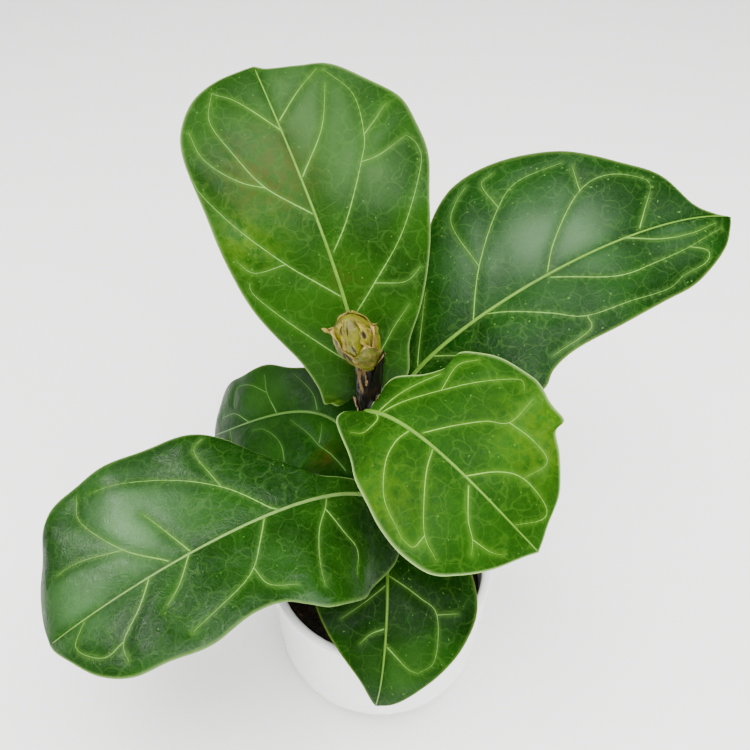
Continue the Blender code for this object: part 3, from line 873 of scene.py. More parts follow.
class BladeForm:
    """The bent surface of one blade: turns flat leaf places into points in space."""

    def __init__(self, plan: LeafPlan) -> None:
        """Measure the midrib and gather the veins.

        Args:
            plan: the leaf's form.
        """
        self.plan = plan
        self.curve = np.array(plan.midrib, float)
        self.share = np.linspace(0, 1, 201)
        steps = np.linalg.norm(np.diff(bezier(self.curve, self.share), axis=0), axis=1)
        self.run = np.r_[0, np.cumsum(steps)]
        self.length = float(self.run[-1])
        self.reach = np.arange(-60.0, self.length + 40, 1.0)
        _, _, upper, sideways = self.frame(self.reach)
        weight = bell(np.arange(-24, 25), 10.0)
        weight /= weight.sum()
        self.calm_upper = self.spread(upper, weight)
        self.calm_sideways = self.spread(sideways, weight)
        self.swell = Unevenness(plan.seed, 75.0, 15.0)
        self.veins = [smooth_line(vein, 26) for vein in plan.left_veins + plan.right_veins]
        rng = np.random.default_rng(plan.seed)
        self.spots = rng.uniform((-20, -72), (self.length + 5, 72), (int(self.length * 3.2), 2))

    @staticmethod
    def spread(rows: np.ndarray, weight: np.ndarray) -> np.ndarray:
        """Average directions along the midrib, so that a tight bend doesn't crease the blade.

        Args:
            rows: one direction in each row.
            weight: shares of the rows round each row, which sum to 1.

        Returns:
            One unit vector for each row.
        """
        padded = np.pad(rows, ((len(weight) // 2, len(weight) // 2), (0, 0)), mode="edge")
        return unit(np.stack([np.convolve(padded[:, k], weight, mode="valid") for k in range(3)], 1))

    def frame(self, along: object) -> tuple[np.ndarray, np.ndarray, np.ndarray, np.ndarray]:
        """Find the midrib and its directions.

        Args:
            along: distances from the stalk.

        Returns:
            The points, and the forward, upper and sideways directions there.
        """
        along = np.atleast_1d(np.asarray(along, float))
        inside = np.clip(along, 0, self.length)
        share = np.interp(inside, self.run, self.share)
        forward = bezier_slope(self.curve, share)
        point = bezier(self.curve, share) + forward * (along - inside)[:, None]
        mix = np.clip(along / self.length, 0, 1)[:, None]
        upper = np.array(self.plan.face_base) * (1 - mix) + np.array(self.plan.face_tip) * mix
        upper = square_to(upper, forward)
        return point, forward, upper, np.cross(forward, upper)

    def place(self, flat: np.ndarray, lift: object) -> np.ndarray:
        """Bend flat places into space.

        Args:
            flat: n by 2, along and out.
            lift: height off the smooth middle surface.

        Returns:
            n by 3 points.
        """
        along, out = flat[:, 0], flat[:, 1]
        point = self.frame(along)[0]
        upper, sideways = (np.stack([np.interp(along, self.reach, part[:, k]) for k in range(3)], 1)
                           for part in (self.calm_upper, self.calm_sideways))
        side = (out > 0).astype(int)
        fold = np.radians(np.array(self.plan.fold, float))[side]
        bend = (np.array(self.plan.curl, float) / 1000)[side]
        reach = np.abs(out)
        across = (np.sin(fold) - np.sin(fold - bend * reach)) / bend
        rise = (np.cos(fold - bend * reach) - np.cos(fold)) / bend
        height, count, phase = self.plan.wave
        ripple = height * np.sin(2 * math.pi * count * along / self.length + phase + 2.1 * side)
        rise = rise + ripple * np.minimum(reach / 45, 1.2) ** 2 + lift
        point = point + sideways * (np.sign(out) * across)[:, None] + upper * rise[:, None]
        return point + (0, 0, POT_HEIGHT)

    def nearest(self, flat: np.ndarray, targets: np.ndarray, ranks: int = 1) -> np.ndarray:
        """Measure how far flat places are from the nearest targets.

        Args:
            flat: n by 2, along and out.
            targets: m by 2, likewise.
            ranks: how many of the nearest targets to measure.

        Returns:
            n by ranks distances, nearest first.
        """
        out = np.empty((len(flat), ranks))
        batch = 3000
        for start in range(0, len(flat), batch):
            part = flat[start:start + batch]
            gap = np.hypot(part[:, None, 0] - targets[None, :, 0], part[:, None, 1] - targets[None, :, 1])
            out[start:start + batch] = np.sort(np.partition(gap, ranks - 1, axis=1)[:, :ranks], axis=1)
        return out

    def vein_distance(self, flat: np.ndarray) -> np.ndarray:
        """Distance from flat places to the nearest side vein."""
        return self.nearest(flat, np.vstack(self.veins))[:, 0]

    def relief(self, flat: np.ndarray, to_edge: np.ndarray) -> np.ndarray:
        """Height of the quilting and the unevenness.

        Args:
            flat: n by 2, along and out.
            to_edge: distance of each place from the margin.

        Returns:
            One height for each place.
        """
        away = self.vein_distance(flat)
        rib = np.abs(flat[:, 1])
        pillow = (1 - bell(rib, 7)) * (1 - 0.85 * bell(away, 4.5))
        near, next_near = self.nearest(flat, self.spots, 2).T
        pocket = np.minimum(next_near - near, 3.0) / 3.0
        calm = 1 - bell(to_edge, 6)
        quilt = (0.8 * pillow + 0.16 * pocket * pillow) * calm
        broad = self.plan.uneven * self.swell.at(np.c_[flat, np.zeros(len(flat))])
        return quilt + broad * (1 - bell(rib, 12))


@dataclass
class FigLeaf:
    """One leaf: a veined blade with its midrib and stalk.

    Attributes:
        plan: the leaf's form and colours.
        stem: the stem that carries it.
        rows: rows of points along the blade.
        columns: points from the midrib to the margin.
        margin: width of the edge's last row.
    """

    plan: LeafPlan
    stem: "Stem"
    rows: int = 150
    columns: int = 44
    margin: float = 0.9

    def __post_init__(self) -> None:
        """Work out the blade's bent surface."""
        self.form = BladeForm(self.plan)

    def outline(self, side: Side) -> np.ndarray:
        """Lay out the margin of one half.

        Args:
            side: which half.

        Returns:
            A flat point for each row, from the stalk to the tip.
        """
        given = self.plan.left if side is Side.LEFT else self.plan.right
        points = [(0.0, 0.0)] + [(x, side.value * y) for x, y in given] + [(self.form.length, 0.0)]
        return smooth_line(points, self.rows + 1)

    def flat_grid(self) -> tuple[np.ndarray, np.ndarray]:
        """Lay out the blade row by row.

        Returns:
            Flat places, and their distances from the margin.
        """
        feet = self.form.length * np.linspace(0, 1, self.rows + 1) ** FOOT_SPREAD
        left, right = self.outline(Side.LEFT), self.outline(Side.RIGHT)
        flat = [np.array([[0.0, 0.0]])]
        gaps = [np.zeros(1)]
        for i in range(1, self.rows):
            foot = np.array([feet[i], 0.0])
            row, gap = [], []
            for edge, order in ((left[i], -1), (right[i], 1)):
                width = np.linalg.norm(edge - foot)
                inner = max(1 - self.margin / width, 0.5)
                shares = np.r_[np.linspace(0, inner, self.columns), 1.0][::order]
                shares = shares[:-1] if order < 0 else shares
                row.append(foot + (edge - foot) * shares[:, None])
                gap.append((1 - shares) * width)
            flat.append(np.vstack(row))
            gaps.append(np.concatenate(gap))
        flat.append(np.array([[self.form.length, 0.0]]))
        gaps.append(np.zeros(1))
        return np.vstack(flat), np.concatenate(gaps)

    def skin_faces(self) -> tuple[list[Face], list[int]]:
        """Join the places of one skin.

        Returns:
            The faces, and the points in order round the margin.
        """
        wide = 2 * self.columns + 1
        tip = 1 + (self.rows - 1) * wide
        faces = [tuple(v + 1 for v in face[::-1]) for face in grid_faces(self.rows - 1, wide)]
        last = 1 + (self.rows - 2) * wide
        for j in range(wide - 1):
            faces.append((0, 1 + j, 2 + j))
            faces.append((tip, last + j + 1, last + j))
        right = [1 + i * wide + wide - 1 for i in range(self.rows - 1)]
        left = [1 + i * wide for i in range(self.rows - 1)]
        return faces, [0] + right + [tip] + left[::-1]

    def add_blade(self, draft: Draft) -> None:
        """Add both skins of the blade.

        Args:
            draft: gathers the leaf.
        """
        flat, gaps = self.flat_grid()
        lift = self.form.relief(flat, gaps)
        thin = BLADE_HALF * (1 - 0.5 * np.exp(-gaps / 1.2))
        from_vein = self.form.vein_distance(flat)
        values = {
            "place": np.c_[flat, np.full(len(flat), float(self.plan.seed))],
            "edge": bell(gaps, 0.75),
            "vein": bell(from_vein, 1.5),
        }
        for mark in Mark:
            values[mark.value] = self.mark_strength(mark, flat)
        # Keep the painted sheen off the veins and midrib, so that it lies on the raised blade between them
        # like a reflection.
        from_rib = np.minimum(from_vein, np.abs(flat[:, 1]))
        values[Mark.PAINTED_SHEEN.value] *= 1 - 0.8 * bell(from_rib, 3.5)
        faces, rim = self.skin_faces()
        count = len(flat)
        both = {key: np.concatenate([value, value]) for key, value in values.items()}
        both["under"] = np.repeat([1.0, 0.0], count)
        points = np.vstack([self.form.place(flat, lift - thin), self.form.place(flat, lift + thin)])
        draft.add(points, close_skins(faces, rim, count), **both)

    def mark_strength(self, mark: Mark, flat: np.ndarray) -> np.ndarray:
        """Measure one kind of patch.

        Args:
            mark: the kind.
            flat: n by 2 places.

        Returns:
            A strength of 0 to 1 for each place.
        """
        total = np.zeros(len(flat))
        for kind, along, out, radius, strength in self.plan.marks:
            if kind is mark:
                gap = np.hypot(flat[:, 0] - along, flat[:, 1] - out) / radius
                total = np.maximum(total, strength * np.exp(-gap ** 2 * 1.2))
        return total

    def add_vein(self, draft: Draft, vein: np.ndarray, size: float) -> None:
        """Add one side vein as a flattened tapering tube that stands proud of both faces.

        Args:
            draft: gathers the leaf.
            vein: its flat places.
            size: its half width at the start.
        """
        flat = smooth_line(vein, 36)
        lift = self.form.relief(flat, np.full(len(flat), INLAND))
        path = self.form.place(flat, lift - 0.1)
        up = unit(self.form.place(flat, lift + 1.0) - path)
        forward = unit(np.gradient(path, axis=0))
        side = unit(np.cross(forward, up))
        wide = size * np.linspace(1, 0.22, len(flat))
        sides = 8
        points = ring_points(path, side, up, wide, BLADE_HALF + 0.22 + 0.3 * wide, sides)
        draft.add(points, tube_faces(len(path), sides), 1, rib=0.0)

    def stalk(self) -> np.ndarray:
        """Lay out the stalk.

        Returns:
            Points from the stem's axis to the blade.
        """
        start = self.stem.centre(self.plan.stalk_height)
        foot, forward, upper, _ = self.form.frame([0.0])
        end = foot[0] + (0, 0, POT_HEIGHT) - upper[0] * 0.5 * RIB_RADIUS
        span = np.linalg.norm(end - start)
        outward = unit((end - start) * (1, 1, 0.3))
        controls = np.array([start, start + outward * span * 0.35, end - forward[0] * span * 0.35, end])
        return bezier(controls, np.linspace(0, 1, STALK_ROWS))

    def add_midrib(self, draft: Draft) -> None:
        """Add the stalk and the midrib as one long tapering tube.

        Args:
            draft: gathers the leaf.
        """
        stalk = self.stalk()
        along = np.linspace(0, self.form.length * 0.985, 90)[1:]
        share = along / along[-1]
        rib_radius = RIB_RADIUS + (RIB_TIP - RIB_RADIUS) * share ** 0.8
        rib_width = RIB_WIDTH + (RIB_TIP - RIB_WIDTH) * share ** 0.7
        flat = np.c_[along, np.zeros(len(along))]
        lift = self.form.relief(flat, np.full(len(flat), INLAND))
        top = lift + BLADE_HALF + 0.2 + 0.55 * (1 - share)
        bottom = lift - BLADE_HALF - 1.1 * rib_radius * (1 - 0.6 * share)
        rib = self.form.place(flat, (top + bottom) / 2)
        upper = self.form.frame(along)[2]
        path = np.vstack([stalk, rib])
        up_back = carried_frame(stalk[::-1], upper[0])[1]
        forward = unit(np.gradient(path, axis=0))
        up = np.vstack([up_back[::-1], upper])
        up = square_to(up, forward)
        flare = 0.9 * np.exp(-np.linspace(0, 7, len(stalk)))
        narrowing = np.linspace(0, 1, STALK_ROWS) ** 3
        wide = np.r_[STALK_RADIUS + (RIB_WIDTH - STALK_RADIUS) * narrowing + flare, rib_width]
        high = np.r_[np.linspace(STALK_RADIUS, RIB_RADIUS, STALK_ROWS) + flare, (top - bottom) / 2]
        sides = 16
        points = ring_points(path, np.cross(forward, up), up, wide, high, sides)
        scar = np.repeat(np.r_[np.exp(-np.linspace(0, 12, STALK_ROWS)), np.zeros(len(rib))], sides)
        draft.add(points, tube_faces(len(path), sides), 1, rib=1.0, scar=scar)

    def build(self) -> bpy.types.Object:
        """Build and dress the leaf.

        Returns:
            The piece.
        """
        draft = Draft()
        self.add_blade(draft)
        self.add_midrib(draft)
        for vein in self.form.veins:
            from_midrib = abs(vein[0][1]) < 14
            self.add_vein(draft, vein, 0.46 if from_midrib else 0.32)
        name = "fig_" + self.plan.node
        finish = self.plan.finish
        obj = draft.build(name, [finish.blade(name), finish.ribs(name)])
        return attach(obj, self.plan.node)


# ---------------------------------------------------------------- stem


@dataclass(frozen=True)
class StemFinish:
    """Green shoot above, brown bark below."""

    green: Colour = (0.06, 0.1, 0.015)
    bark: Colour = (0.09, 0.065, 0.035)
    scar: Colour = (0.035, 0.022, 0.012)

    def material(self) -> bpy.types.Material:
        """Mix the stem's material.

        Returns:
            The material.
        """
        paint = Paint("stem_bark")
        place = paint.here()
        fine = paint.noise(place, 420.0, 4.0)
        colour = paint.mix(paint.value("woody"), self.green, self.bark)
        colour = paint.mix(paint.fit(fine, 0.5, 0.75, 0.0, 0.6), colour, self.scar)
        colour = paint.mix(paint.value("scar"), colour, self.scar)
        return paint.dress(Base_Color=colour, Roughness=0.68, Normal=paint.bump(fine, 0.5, 0.0004))


@dataclass
class Stem:
    """The single upright stem.

    Attributes:
        finish: its colours.
        foot: its lower end, above the pot's underside.
        top: its upper end, above the rim.
        radius: at the foot.
        tip_radius: at the top.
        lean: sideways shift of the top.
        bow: how far the middle bends forward.
        ring_gap: how far a second ring lies below each joint.
        rows: rings of points.
        sides: points in each ring.
    """

    finish: StemFinish
    foot: float = 55.0
    top: float = 119.0
    radius: float = 3.6
    tip_radius: float = 3.0
    lean: Place = (-5.2, 1.0)
    bow: float = 1.5
    ring_gap: float = 9.0
    rows: int = 150
    sides: int = 36

    def centre(self, height: float) -> np.ndarray:
        """Find the stem's centre.

        Args:
            height: above the rim.

        Returns:
            One point.
        """
        share = max(height, 0.0) / self.top
        sway = share ** 1.5
        bow = self.bow * math.sin(math.pi * share)
        return np.array([self.lean[0] * sway, self.lean[1] * sway - bow, POT_HEIGHT + height])

    def build(self, joints: list[float]) -> bpy.types.Object:
        """Build and dress the stem.

        Args:
            joints: heights above the rim where leaves join.

        Returns:
            The piece.
        """
        heights = np.linspace(self.foot - POT_HEIGHT, self.top, self.rows)
        path = np.array([self.centre(h) for h in heights])
        radius = self.radius + (self.tip_radius - self.radius) * np.linspace(0, 1, self.rows)
        ring = np.zeros(self.rows)
        for joint in joints + [joint - self.ring_gap for joint in joints]:
            ring += bell(heights - joint, 1.3)
        side, up = carried_frame(path, np.array([0.0, 1.0, 0.0]))
        angle = 2 * math.pi * np.arange(self.sides) / self.sides
        high, turn = np.meshgrid(heights, angle, indexing="ij")
        rough = Unevenness(5, 9.0, 1.2).over(3 * np.cos(turn), 3 * np.sin(turn), 0.4 * high)
        size = radius[:, None] + 0.16 * rough + 0.3 * ring[:, None]
        points = ring_points(path, side, up, size, size, self.sides)
        woody = np.repeat(np.clip((52 - heights) / 45, 0, 1), self.sides)
        scar = np.repeat(np.clip(ring, 0, 1), self.sides)
        draft = Draft()
        draft.add(points, tube_faces(self.rows, self.sides), woody=woody, scar=scar)
        return attach(draft.build("fig_stem", [self.finish.material()]), "stem")


# ---------------------------------------------------------------- growing tip


@dataclass(frozen=True)
class SheathFinish:
    """Near-black glossy skin with a tan strip."""

    dark: Colour = (0.003, 0.0022, 0.0026)
    warm: Colour = (0.01, 0.005, 0.0035)
    tan: Colour = (0.14, 0.09, 0.035)

    def material(self) -> bpy.types.Material:
        """Mix the sheath's material.

        Returns:
            The material.
        """
        paint = Paint("sheath_skin")
        place = paint.here()
        streak = paint.noise(place, 260.0, 4.0)
        colour = paint.mix(paint.fit(streak, 0.4, 0.7), self.dark, self.warm)
        colour = paint.mix(paint.fit(paint.value("dry"), 0.25, 0.7), colour, self.tan)
        return paint.dress(Base_Color=colour, Roughness=0.3, Specular_IOR_Level=0.15,
                           Normal=paint.bump(streak, 0.35, 0.0004))


@dataclass(frozen=True)
class BudFinish:
    """Yellow-green bracts with dried tan edges."""

    green: Colour = (0.05, 0.07, 0.003)
    yellow: Colour = (0.19, 0.17, 0.007)
    dull: Colour = (0.05, 0.04, 0.006)
    dry: Colour = (0.17, 0.12, 0.026)
    spot: Colour = (0.012, 0.006, 0.003)

    def material(self) -> bpy.types.Material:
        """Mix the bud's material.

        Returns:
            The material.
        """
        paint = Paint("bud_bracts")
        place = paint.here()
        fine = paint.noise(place, 420.0, 5.0)
        broad = paint.noise(place, 130.0, 2.0)
        colour = paint.mix(paint.value("yellow"), self.green, self.yellow)
        colour = paint.mix(paint.fit(broad, 0.45, 0.65, 0.0, 0.75), colour, self.dull)
        worn = paint.plus(paint.value("dry"), paint.fit(fine, 0.35, 0.75, 0.0, 0.35))
        colour = paint.mix(paint.fit(worn, 0.5, 0.95), colour, self.dry)
        colour = paint.mix(paint.fit(paint.value("dark"), 0.3, 0.7), colour, self.spot)
        return paint.dress(Base_Color=colour, Roughness=0.5, Normal=paint.bump(fine, 0.6, 0.0005))


@dataclass(frozen=True)
class PaperFinish:
    """Dry brown paper-thin scales with pale edges."""

    brown: Colour = (0.02, 0.011, 0.006)
    tan: Colour = (0.2, 0.135, 0.06)

    def material(self) -> bpy.types.Material:
        """Mix the scales' material.

        Returns:
            The material.
        """
        paint = Paint("papery_scale_skin")
        streak = paint.noise(paint.here(), 500.0, 4.0)
        worn = paint.plus(paint.value("dry"), paint.fit(streak, 0.4, 0.75, 0.0, 0.4))
        colour = paint.mix(paint.fit(worn, 0.3, 0.9), self.brown, self.tan)
        return paint.dress(Base_Color=colour, Roughness=0.7, Normal=paint.bump(streak, 0.5, 0.0003))


@dataclass(frozen=True)
class Bract:
    """One flap of the bud or scale of the sheath.

    Attributes:
        angle: middle, in degrees round the axis; 270 faces the front.
        half: half width in degrees.
        base: where it starts, as a share of the axis.
        tip: where it ends.
        layer: height off the core, in millimetres.
        flare: how far the tip leans out.
        curl: how far the long edges lift.
        yellow: 0 green to 1 yellow.
        dry: added dryness of the whole flap.
        crumple: height of the fine creases.
        spots: dark spots as (along, across).
    """

    angle: float
    half: float
    base: float
    tip: float
    layer: float
    flare: float = 0.6
    curl: float = 0.8
    yellow: float = 0.5
    dry: float = 0.0
    crumple: float = 0.3
    spots: tuple[Place, ...] = ()


@dataclass
class GrowingTip:
    """The dark sheath on top of the stem, the crumpled bud and two papery scales.

    Attributes:
        stem: the stem below.
        sheath: the sheath's finish.
        bud: the bud's finish.
        paper: the scales' finish.
        sheath_length: from the stem's top to the bud.
        sheath_radius: of the sheath's middle, about.
        sheath_lean: sideways shift of its top.
        bud_length: height of the bud.
        bud_radius: of its widest part, about.
        wraps: flaps of the sheath.
        bracts: flaps of the bud, the inner ones first.
    """

    stem: Stem
    sheath: SheathFinish
    bud: BudFinish
    paper: PaperFinish
    sheath_length: float = 39.0
    sheath_radius: float = 5.6
    sheath_lean: Place = (-1.5, -1.5)
    bud_length: float = 28.0
    bud_radius: float = 10.5
    wraps: tuple[Bract, ...] = (
        Bract(252, 16, 0.74, 1.04, 1.0, flare=1.2, dry=0.8),
        Bract(325, 44, 0.4, 1.24, 0.8, flare=3.2, curl=0.1, crumple=0.1, dry=-0.6),
        Bract(300, 30, 0.02, 0.5, 0.7, flare=0.5, curl=0.3, crumple=0.15, dry=-0.25),
    )
    bracts: tuple[Bract, ...] = (
        Bract(90, 75, 0.0, 0.95, 0.2, flare=0.2, yellow=0.4),
        Bract(205, 58, 0.02, 0.86, 0.5, flare=1.6, curl=0.9, yellow=1.0, dry=-0.12,
              spots=((0.5, 0.68), (0.72, 0.5))),
        Bract(352, 46, 0.08, 0.88, 0.6, flare=1.2, curl=1.3, yellow=0.6, dry=0.42),
        Bract(258, 20, 0.1, 1.0, 1.0, flare=0.3, curl=0.3, yellow=0.5, crumple=0.5,
              spots=((0.52, 0.55), (0.93, 0.1))),
        Bract(298, 42, 0.0, 0.68, 1.4, flare=1.2, curl=1.2, yellow=0.3, dry=0.3),
        Bract(228, 26, 0.55, 1.04, 1.1, flare=0.4, curl=0.9, yellow=0.8, dry=0.35, spots=((0.7, 0.4),)),
        Bract(318, 24, 0.58, 1.05, 1.1, flare=0.5, curl=0.9, yellow=0.8, dry=0.3, spots=((0.5, -0.3),)),
    )

    def sheath_axis(self, share: np.ndarray) -> np.ndarray:
        """Centres of the sheath at shares of its length."""
        foot = self.stem.centre(self.stem.top) + (0, 0, 2 * TOUCH_GAP)
        return foot + np.asarray(share)[..., None] * np.array([*self.sheath_lean, self.sheath_length])

    def sheath_size(self, share: np.ndarray) -> np.ndarray:
        """Find the sheath's radius.

        Args:
            share: shares of its length.

        Returns:
            A radius for each.
        """
        at = (0.0, 0.12, 0.35, 0.6, 0.82, 1.0)
        line = smooth_line(list(zip(at, (0.72, 0.96, 1.08, 1.14, 1.1, 0.95))), 60)
        return self.sheath_radius * np.interp(share, line[:, 0], line[:, 1])

    def add_core(self, draft: Draft, axis: np.ndarray, size: np.ndarray, **values: object) -> None:
        """Add a closed upright core.

        Args:
            draft: gathers it.
            axis: centres of its rings.
            size: radius of each point of each ring.
            values: numbers for the material.
        """
        rows, sides = size.shape
        across = np.tile([1.0, 0.0, 0.0], (rows, 1))
        ahead = np.tile([0.0, 1.0, 0.0], (rows, 1))
        points = ring_points(axis, across, ahead, size, size, sides)
        draft.add(points, tube_faces(rows, sides), **values)

    def build_sheath(self) -> bpy.types.Object:
        """Build and dress the wrapped sheath with its seam, ribs and tan strip.

        Returns:
            The piece.
        """
        rows, sides = 90, 72
        share = np.linspace(0, 1, rows)
        angle = np.degrees(2 * math.pi * np.arange(sides) / sides)
        high, turn = np.meshgrid(share, angle, indexing="ij")
        seam = (turn - 262 + 50 * high + 5 * np.sin(7 * high)) % 360
        wrap = np.clip(1 - seam / 110, 0, 1) * 0.75
        ribs = 0.13 * np.sin(np.radians(11 * turn) + 3 * np.sin(5 * high))
        turn = np.radians(turn)
        dents = 0.35 * Unevenness(8, 9.0, 2.0).over(6 * np.cos(turn), 6 * np.sin(turn), 26 * high)
        size = self.sheath_size(share)[:, None] + wrap + ribs + dents
        strip = bell(seam - 6, 10) * np.clip((high - 0.5) * 6, 0, 1)
        draft = Draft()
        self.add_core(draft, self.sheath_axis(share), size, dry=strip.ravel())
        for flap in self.wraps:
            self.add_flap(draft, flap, self.sheath_axis, self.sheath_size, SCALE_THICKNESS)
        obj = draft.build("fig_bud_sheath", [self.sheath.material()])
        return attach(obj, "bud_sheath")

    def bud_axis(self, share: np.ndarray) -> np.ndarray:
        """Find the bud's centre.

        Args:
            share: shares of its height.

        Returns:
            A point for each.
        """
        share = np.asarray(share, float)
        foot = self.sheath_axis(np.array(1.0)) - (0, 0, 1.0)
        sway = np.clip(share, 0, 2) ** 0.7
        return foot + np.stack([-8 * sway, -2 * sway, self.bud_length * share], -1)

    def bud_size(self, share: np.ndarray) -> np.ndarray:
        """Find the radius of the bud's core.

        Args:
            share: shares of its height.

        Returns:
            A radius for each.
        """
        at = (0.0, 0.15, 0.35, 0.55, 0.75, 0.9, 1.0, 1.1)
        size = (0.48, 0.7, 0.9, 0.93, 0.8, 0.56, 0.2, 0.05)
        return self.bud_radius * np.interp(share, at, size)

    def add_flap(self, draft: Draft, flap: Bract, axis: AlongCore, radius: AlongCore, thick: float) -> None:
        """Add one curled flap over a core.

        Args:
            draft: gathers the flap.
            flap: its form.
            axis: gives centres of the core by share.
            radius: gives radii of the core by share.
            thick: thickness in millimetres.
        """
        rows, columns = 46, 40
        v, w = np.meshgrid(np.linspace(0, 1, rows), np.linspace(-1, 1, columns), indexing="ij")
        wobble = Unevenness(int(flap.angle), 14.0, 2.2).over(9 * v, 9 * w, 3.0)
        width = np.minimum((v + 0.12) * 3, 1) ** 0.5 * np.clip(1.02 - v ** 3, 0, 1) ** 0.7
        width = width * (1 + 0.12 * np.sin(9 * v + flap.angle) + 0.08 * np.sin(23 * v + w))
        turn = np.radians(flap.angle + w * flap.half * width)
        share = flap.base + (flap.tip - flap.base) * (v - 0.08 * w * w * v)
        away = flap.layer * (0.3 + 0.7 * v) + flap.flare * v ** 3
        away = away + flap.curl * np.abs(w) ** 4 * (0.3 + 0.7 * v) + 0.7 * wobble
        away = away + 0.25 * np.sin(26 * v + 3 * w + flap.angle) * np.abs(w) ** 2
        crumple = Unevenness(int(flap.angle) + 1, 4.0, 0.9).over(14 * v, 9 * w, 0.0)
        reach = radius(share) + away + flap.crumple * crumple
        out = np.stack([np.cos(turn), np.sin(turn), 0.25 * (v - 0.3)], -1)
        middle = axis(share)
        layers = [middle + out * (reach + grow)[..., None] for grow in (-thick / 2, thick / 2)]
        edge = np.clip((np.abs(w) - 0.74) / 0.26, 0, 1) + np.clip((v - 0.86) / 0.14, 0, 1)
        dry = np.clip(edge * 0.8 + flap.dry + 0.35 * wobble + 0.3 * crumple, 0, 1)
        dark = np.zeros_like(v)
        for along, across in flap.spots:
            gap = np.hypot((v - along) / 0.16, (w - across) / 0.36) + 0.35 * wobble
            dark = np.maximum(dark, np.clip(1.3 - gap, 0, 1))
        points = np.vstack([layer.reshape(-1, 3) for layer in layers])
        both = {key: np.tile(value.ravel(), 2) for key, value in (("dry", dry), ("dark", dark))}
        draft.add(points, slab_faces(rows, columns), yellow=flap.yellow, **both)

    def build_bud(self) -> bpy.types.Object:
        """Build and dress the head: a creased core wrapped in curled bracts, with a dry point.

        Returns:
            The piece.
        """
        rows, sides = 60, 64
        share = np.linspace(0, 1, rows)
        angle = 2 * math.pi * np.arange(sides) / sides
        high, turn = np.meshgrid(share, angle, indexing="ij")
        crease = 1 + 0.09 * np.sin(5 * turn + 6 * high) * np.sin(math.pi * high)
        lumps = 0.5 * Unevenness(21, 9.0, 1.8).over(9 * np.cos(turn), 9 * np.sin(turn), 26 * high)
        size = self.bud_size(share)[:, None] * crease + lumps
        draft = Draft()
        self.add_core(draft, self.bud_axis(share), size, yellow=0.45, dry=0.15, dark=0.0)
        for bract in self.bracts:
            self.add_flap(draft, bract, self.bud_axis, self.bud_size, BRACT_THICKNESS)
        self.add_point(draft)
        obj = draft.build("fig_terminal_bud", [self.bud.material()])
        return attach(obj, "terminal_bud")

    def add_point(self, draft: Draft) -> None:
        """Add the dry pointed tip that leans out of the bud's upper left.

        Args:
            draft: gathers the bud.
        """
        start = self.bud_axis(np.array(0.62)) + (-5.5, -1.0, 1.5)
        path = smooth_line([start, start + (-3.6, -0.4, 2.0), start + (-6.4, -1.0, 2.6),
                            start + (-9.4, -1.2, 4.4)], 30)
        side, up = carried_frame(path, np.array([0.0, 0.0, 1.0]))
        share = np.linspace(0, 1, len(path))
        wide = 3.2 * (1 - share) ** 0.8 + 0.25 + 0.3 * np.sin(17 * share)
        sides = 14
        points = ring_points(path, side, up, wide, 0.45 * wide, sides)
        draft.add(points, tube_faces(len(path), sides), yellow=0.8, dry=0.75, dark=0.0)

    def build_scale(self, node: str, middle: float, half: float, height: float) -> bpy.types.Object:
        """Build and dress one papery scale at the sheath's foot.

        Args:
            node: the CAD node that it stands for.
            middle: its direction in degrees.
            half: its half width in degrees.
            height: in millimetres.

        Returns:
            The piece.
        """
        draft = Draft()
        flap = Bract(middle, half, -0.01, height / self.sheath_length, 1.0, flare=0.9, curl=0.5, dry=0.2)
        self.add_flap(draft, flap, self.sheath_axis, self.sheath_size, SCALE_THICKNESS)
        return attach(draft.build("fig_" + node, [self.paper.material()]), node)

    def build(self) -> list[bpy.types.Object]:
        """Build every piece of the growing tip.

        Returns:
            The pieces.
        """
        return [
            self.build_sheath(),
            self.build_bud(),
            self.build_scale("papery_scale_left", 172, 34, 11.5),
            self.build_scale("papery_scale_right", 335, 32, 9.0),
        ]


# ---------------------------------------------------------------- pot and mix


@dataclass(frozen=True)
class GlazeFinish:
    """White glaze with a bare foot ring."""

    glaze: Colour = (0.94, 0.94, 0.93)
    shade: Colour = (0.9, 0.905, 0.9)
    bare: Colour = (0.62, 0.56, 0.47)

    def material(self) -> bpy.types.Material:
        """Mix the pot's material.

        Returns:
            The material.
        """
        paint = Paint("pot_glaze")
        place = paint.here()
        broad = paint.noise(place, 22.0, 2.0)
        colour = paint.mix(paint.fit(broad, 0.4, 0.7, 0.0, 0.5), self.glaze, self.shade)
        colour = paint.mix(paint.value("bare"), colour, self.bare)
        rough = paint.fit(paint.value("bare"), 0.0, 1.0, 0.12, 0.8)
        ripple = paint.noise(place, 60.0, 2.0)
        return paint.dress(Base_Color=colour, Roughness=rough, Normal=paint.bump(ripple, 0.12, 0.0006),
                           Coat_Weight=0.3, Coat_Roughness=0.05)


def arc(centre: Place, radius: float, start: float, end: float, count: int) -> list[Place]:
    """Lay out an arc of a profile.

    Args:
        centre: its middle.
        radius: in millimetres.
        start: first angle in degrees.
        end: last angle in degrees.
        count: steps between them.

    Returns:
        Its points.
    """
    angles = np.radians(np.linspace(start, end, count + 1))
    return [(centre[0] + radius * math.cos(a), centre[1] + radius * math.sin(a)) for a in angles]


def straight(start: Place, end: Place, count: int) -> list[Place]:
    """Lay out a straight part of a profile.

    Args:
        start: corner before it.
        end: corner after it.
        count: points between them.

    Returns:
        Its points, without the corners.
    """
    shares = np.linspace(0, 1, count + 2)[1:-1]
    return [(start[0] + (end[0] - start[0]) * s, start[1] + (end[1] - start[1]) * s) for s in shares]


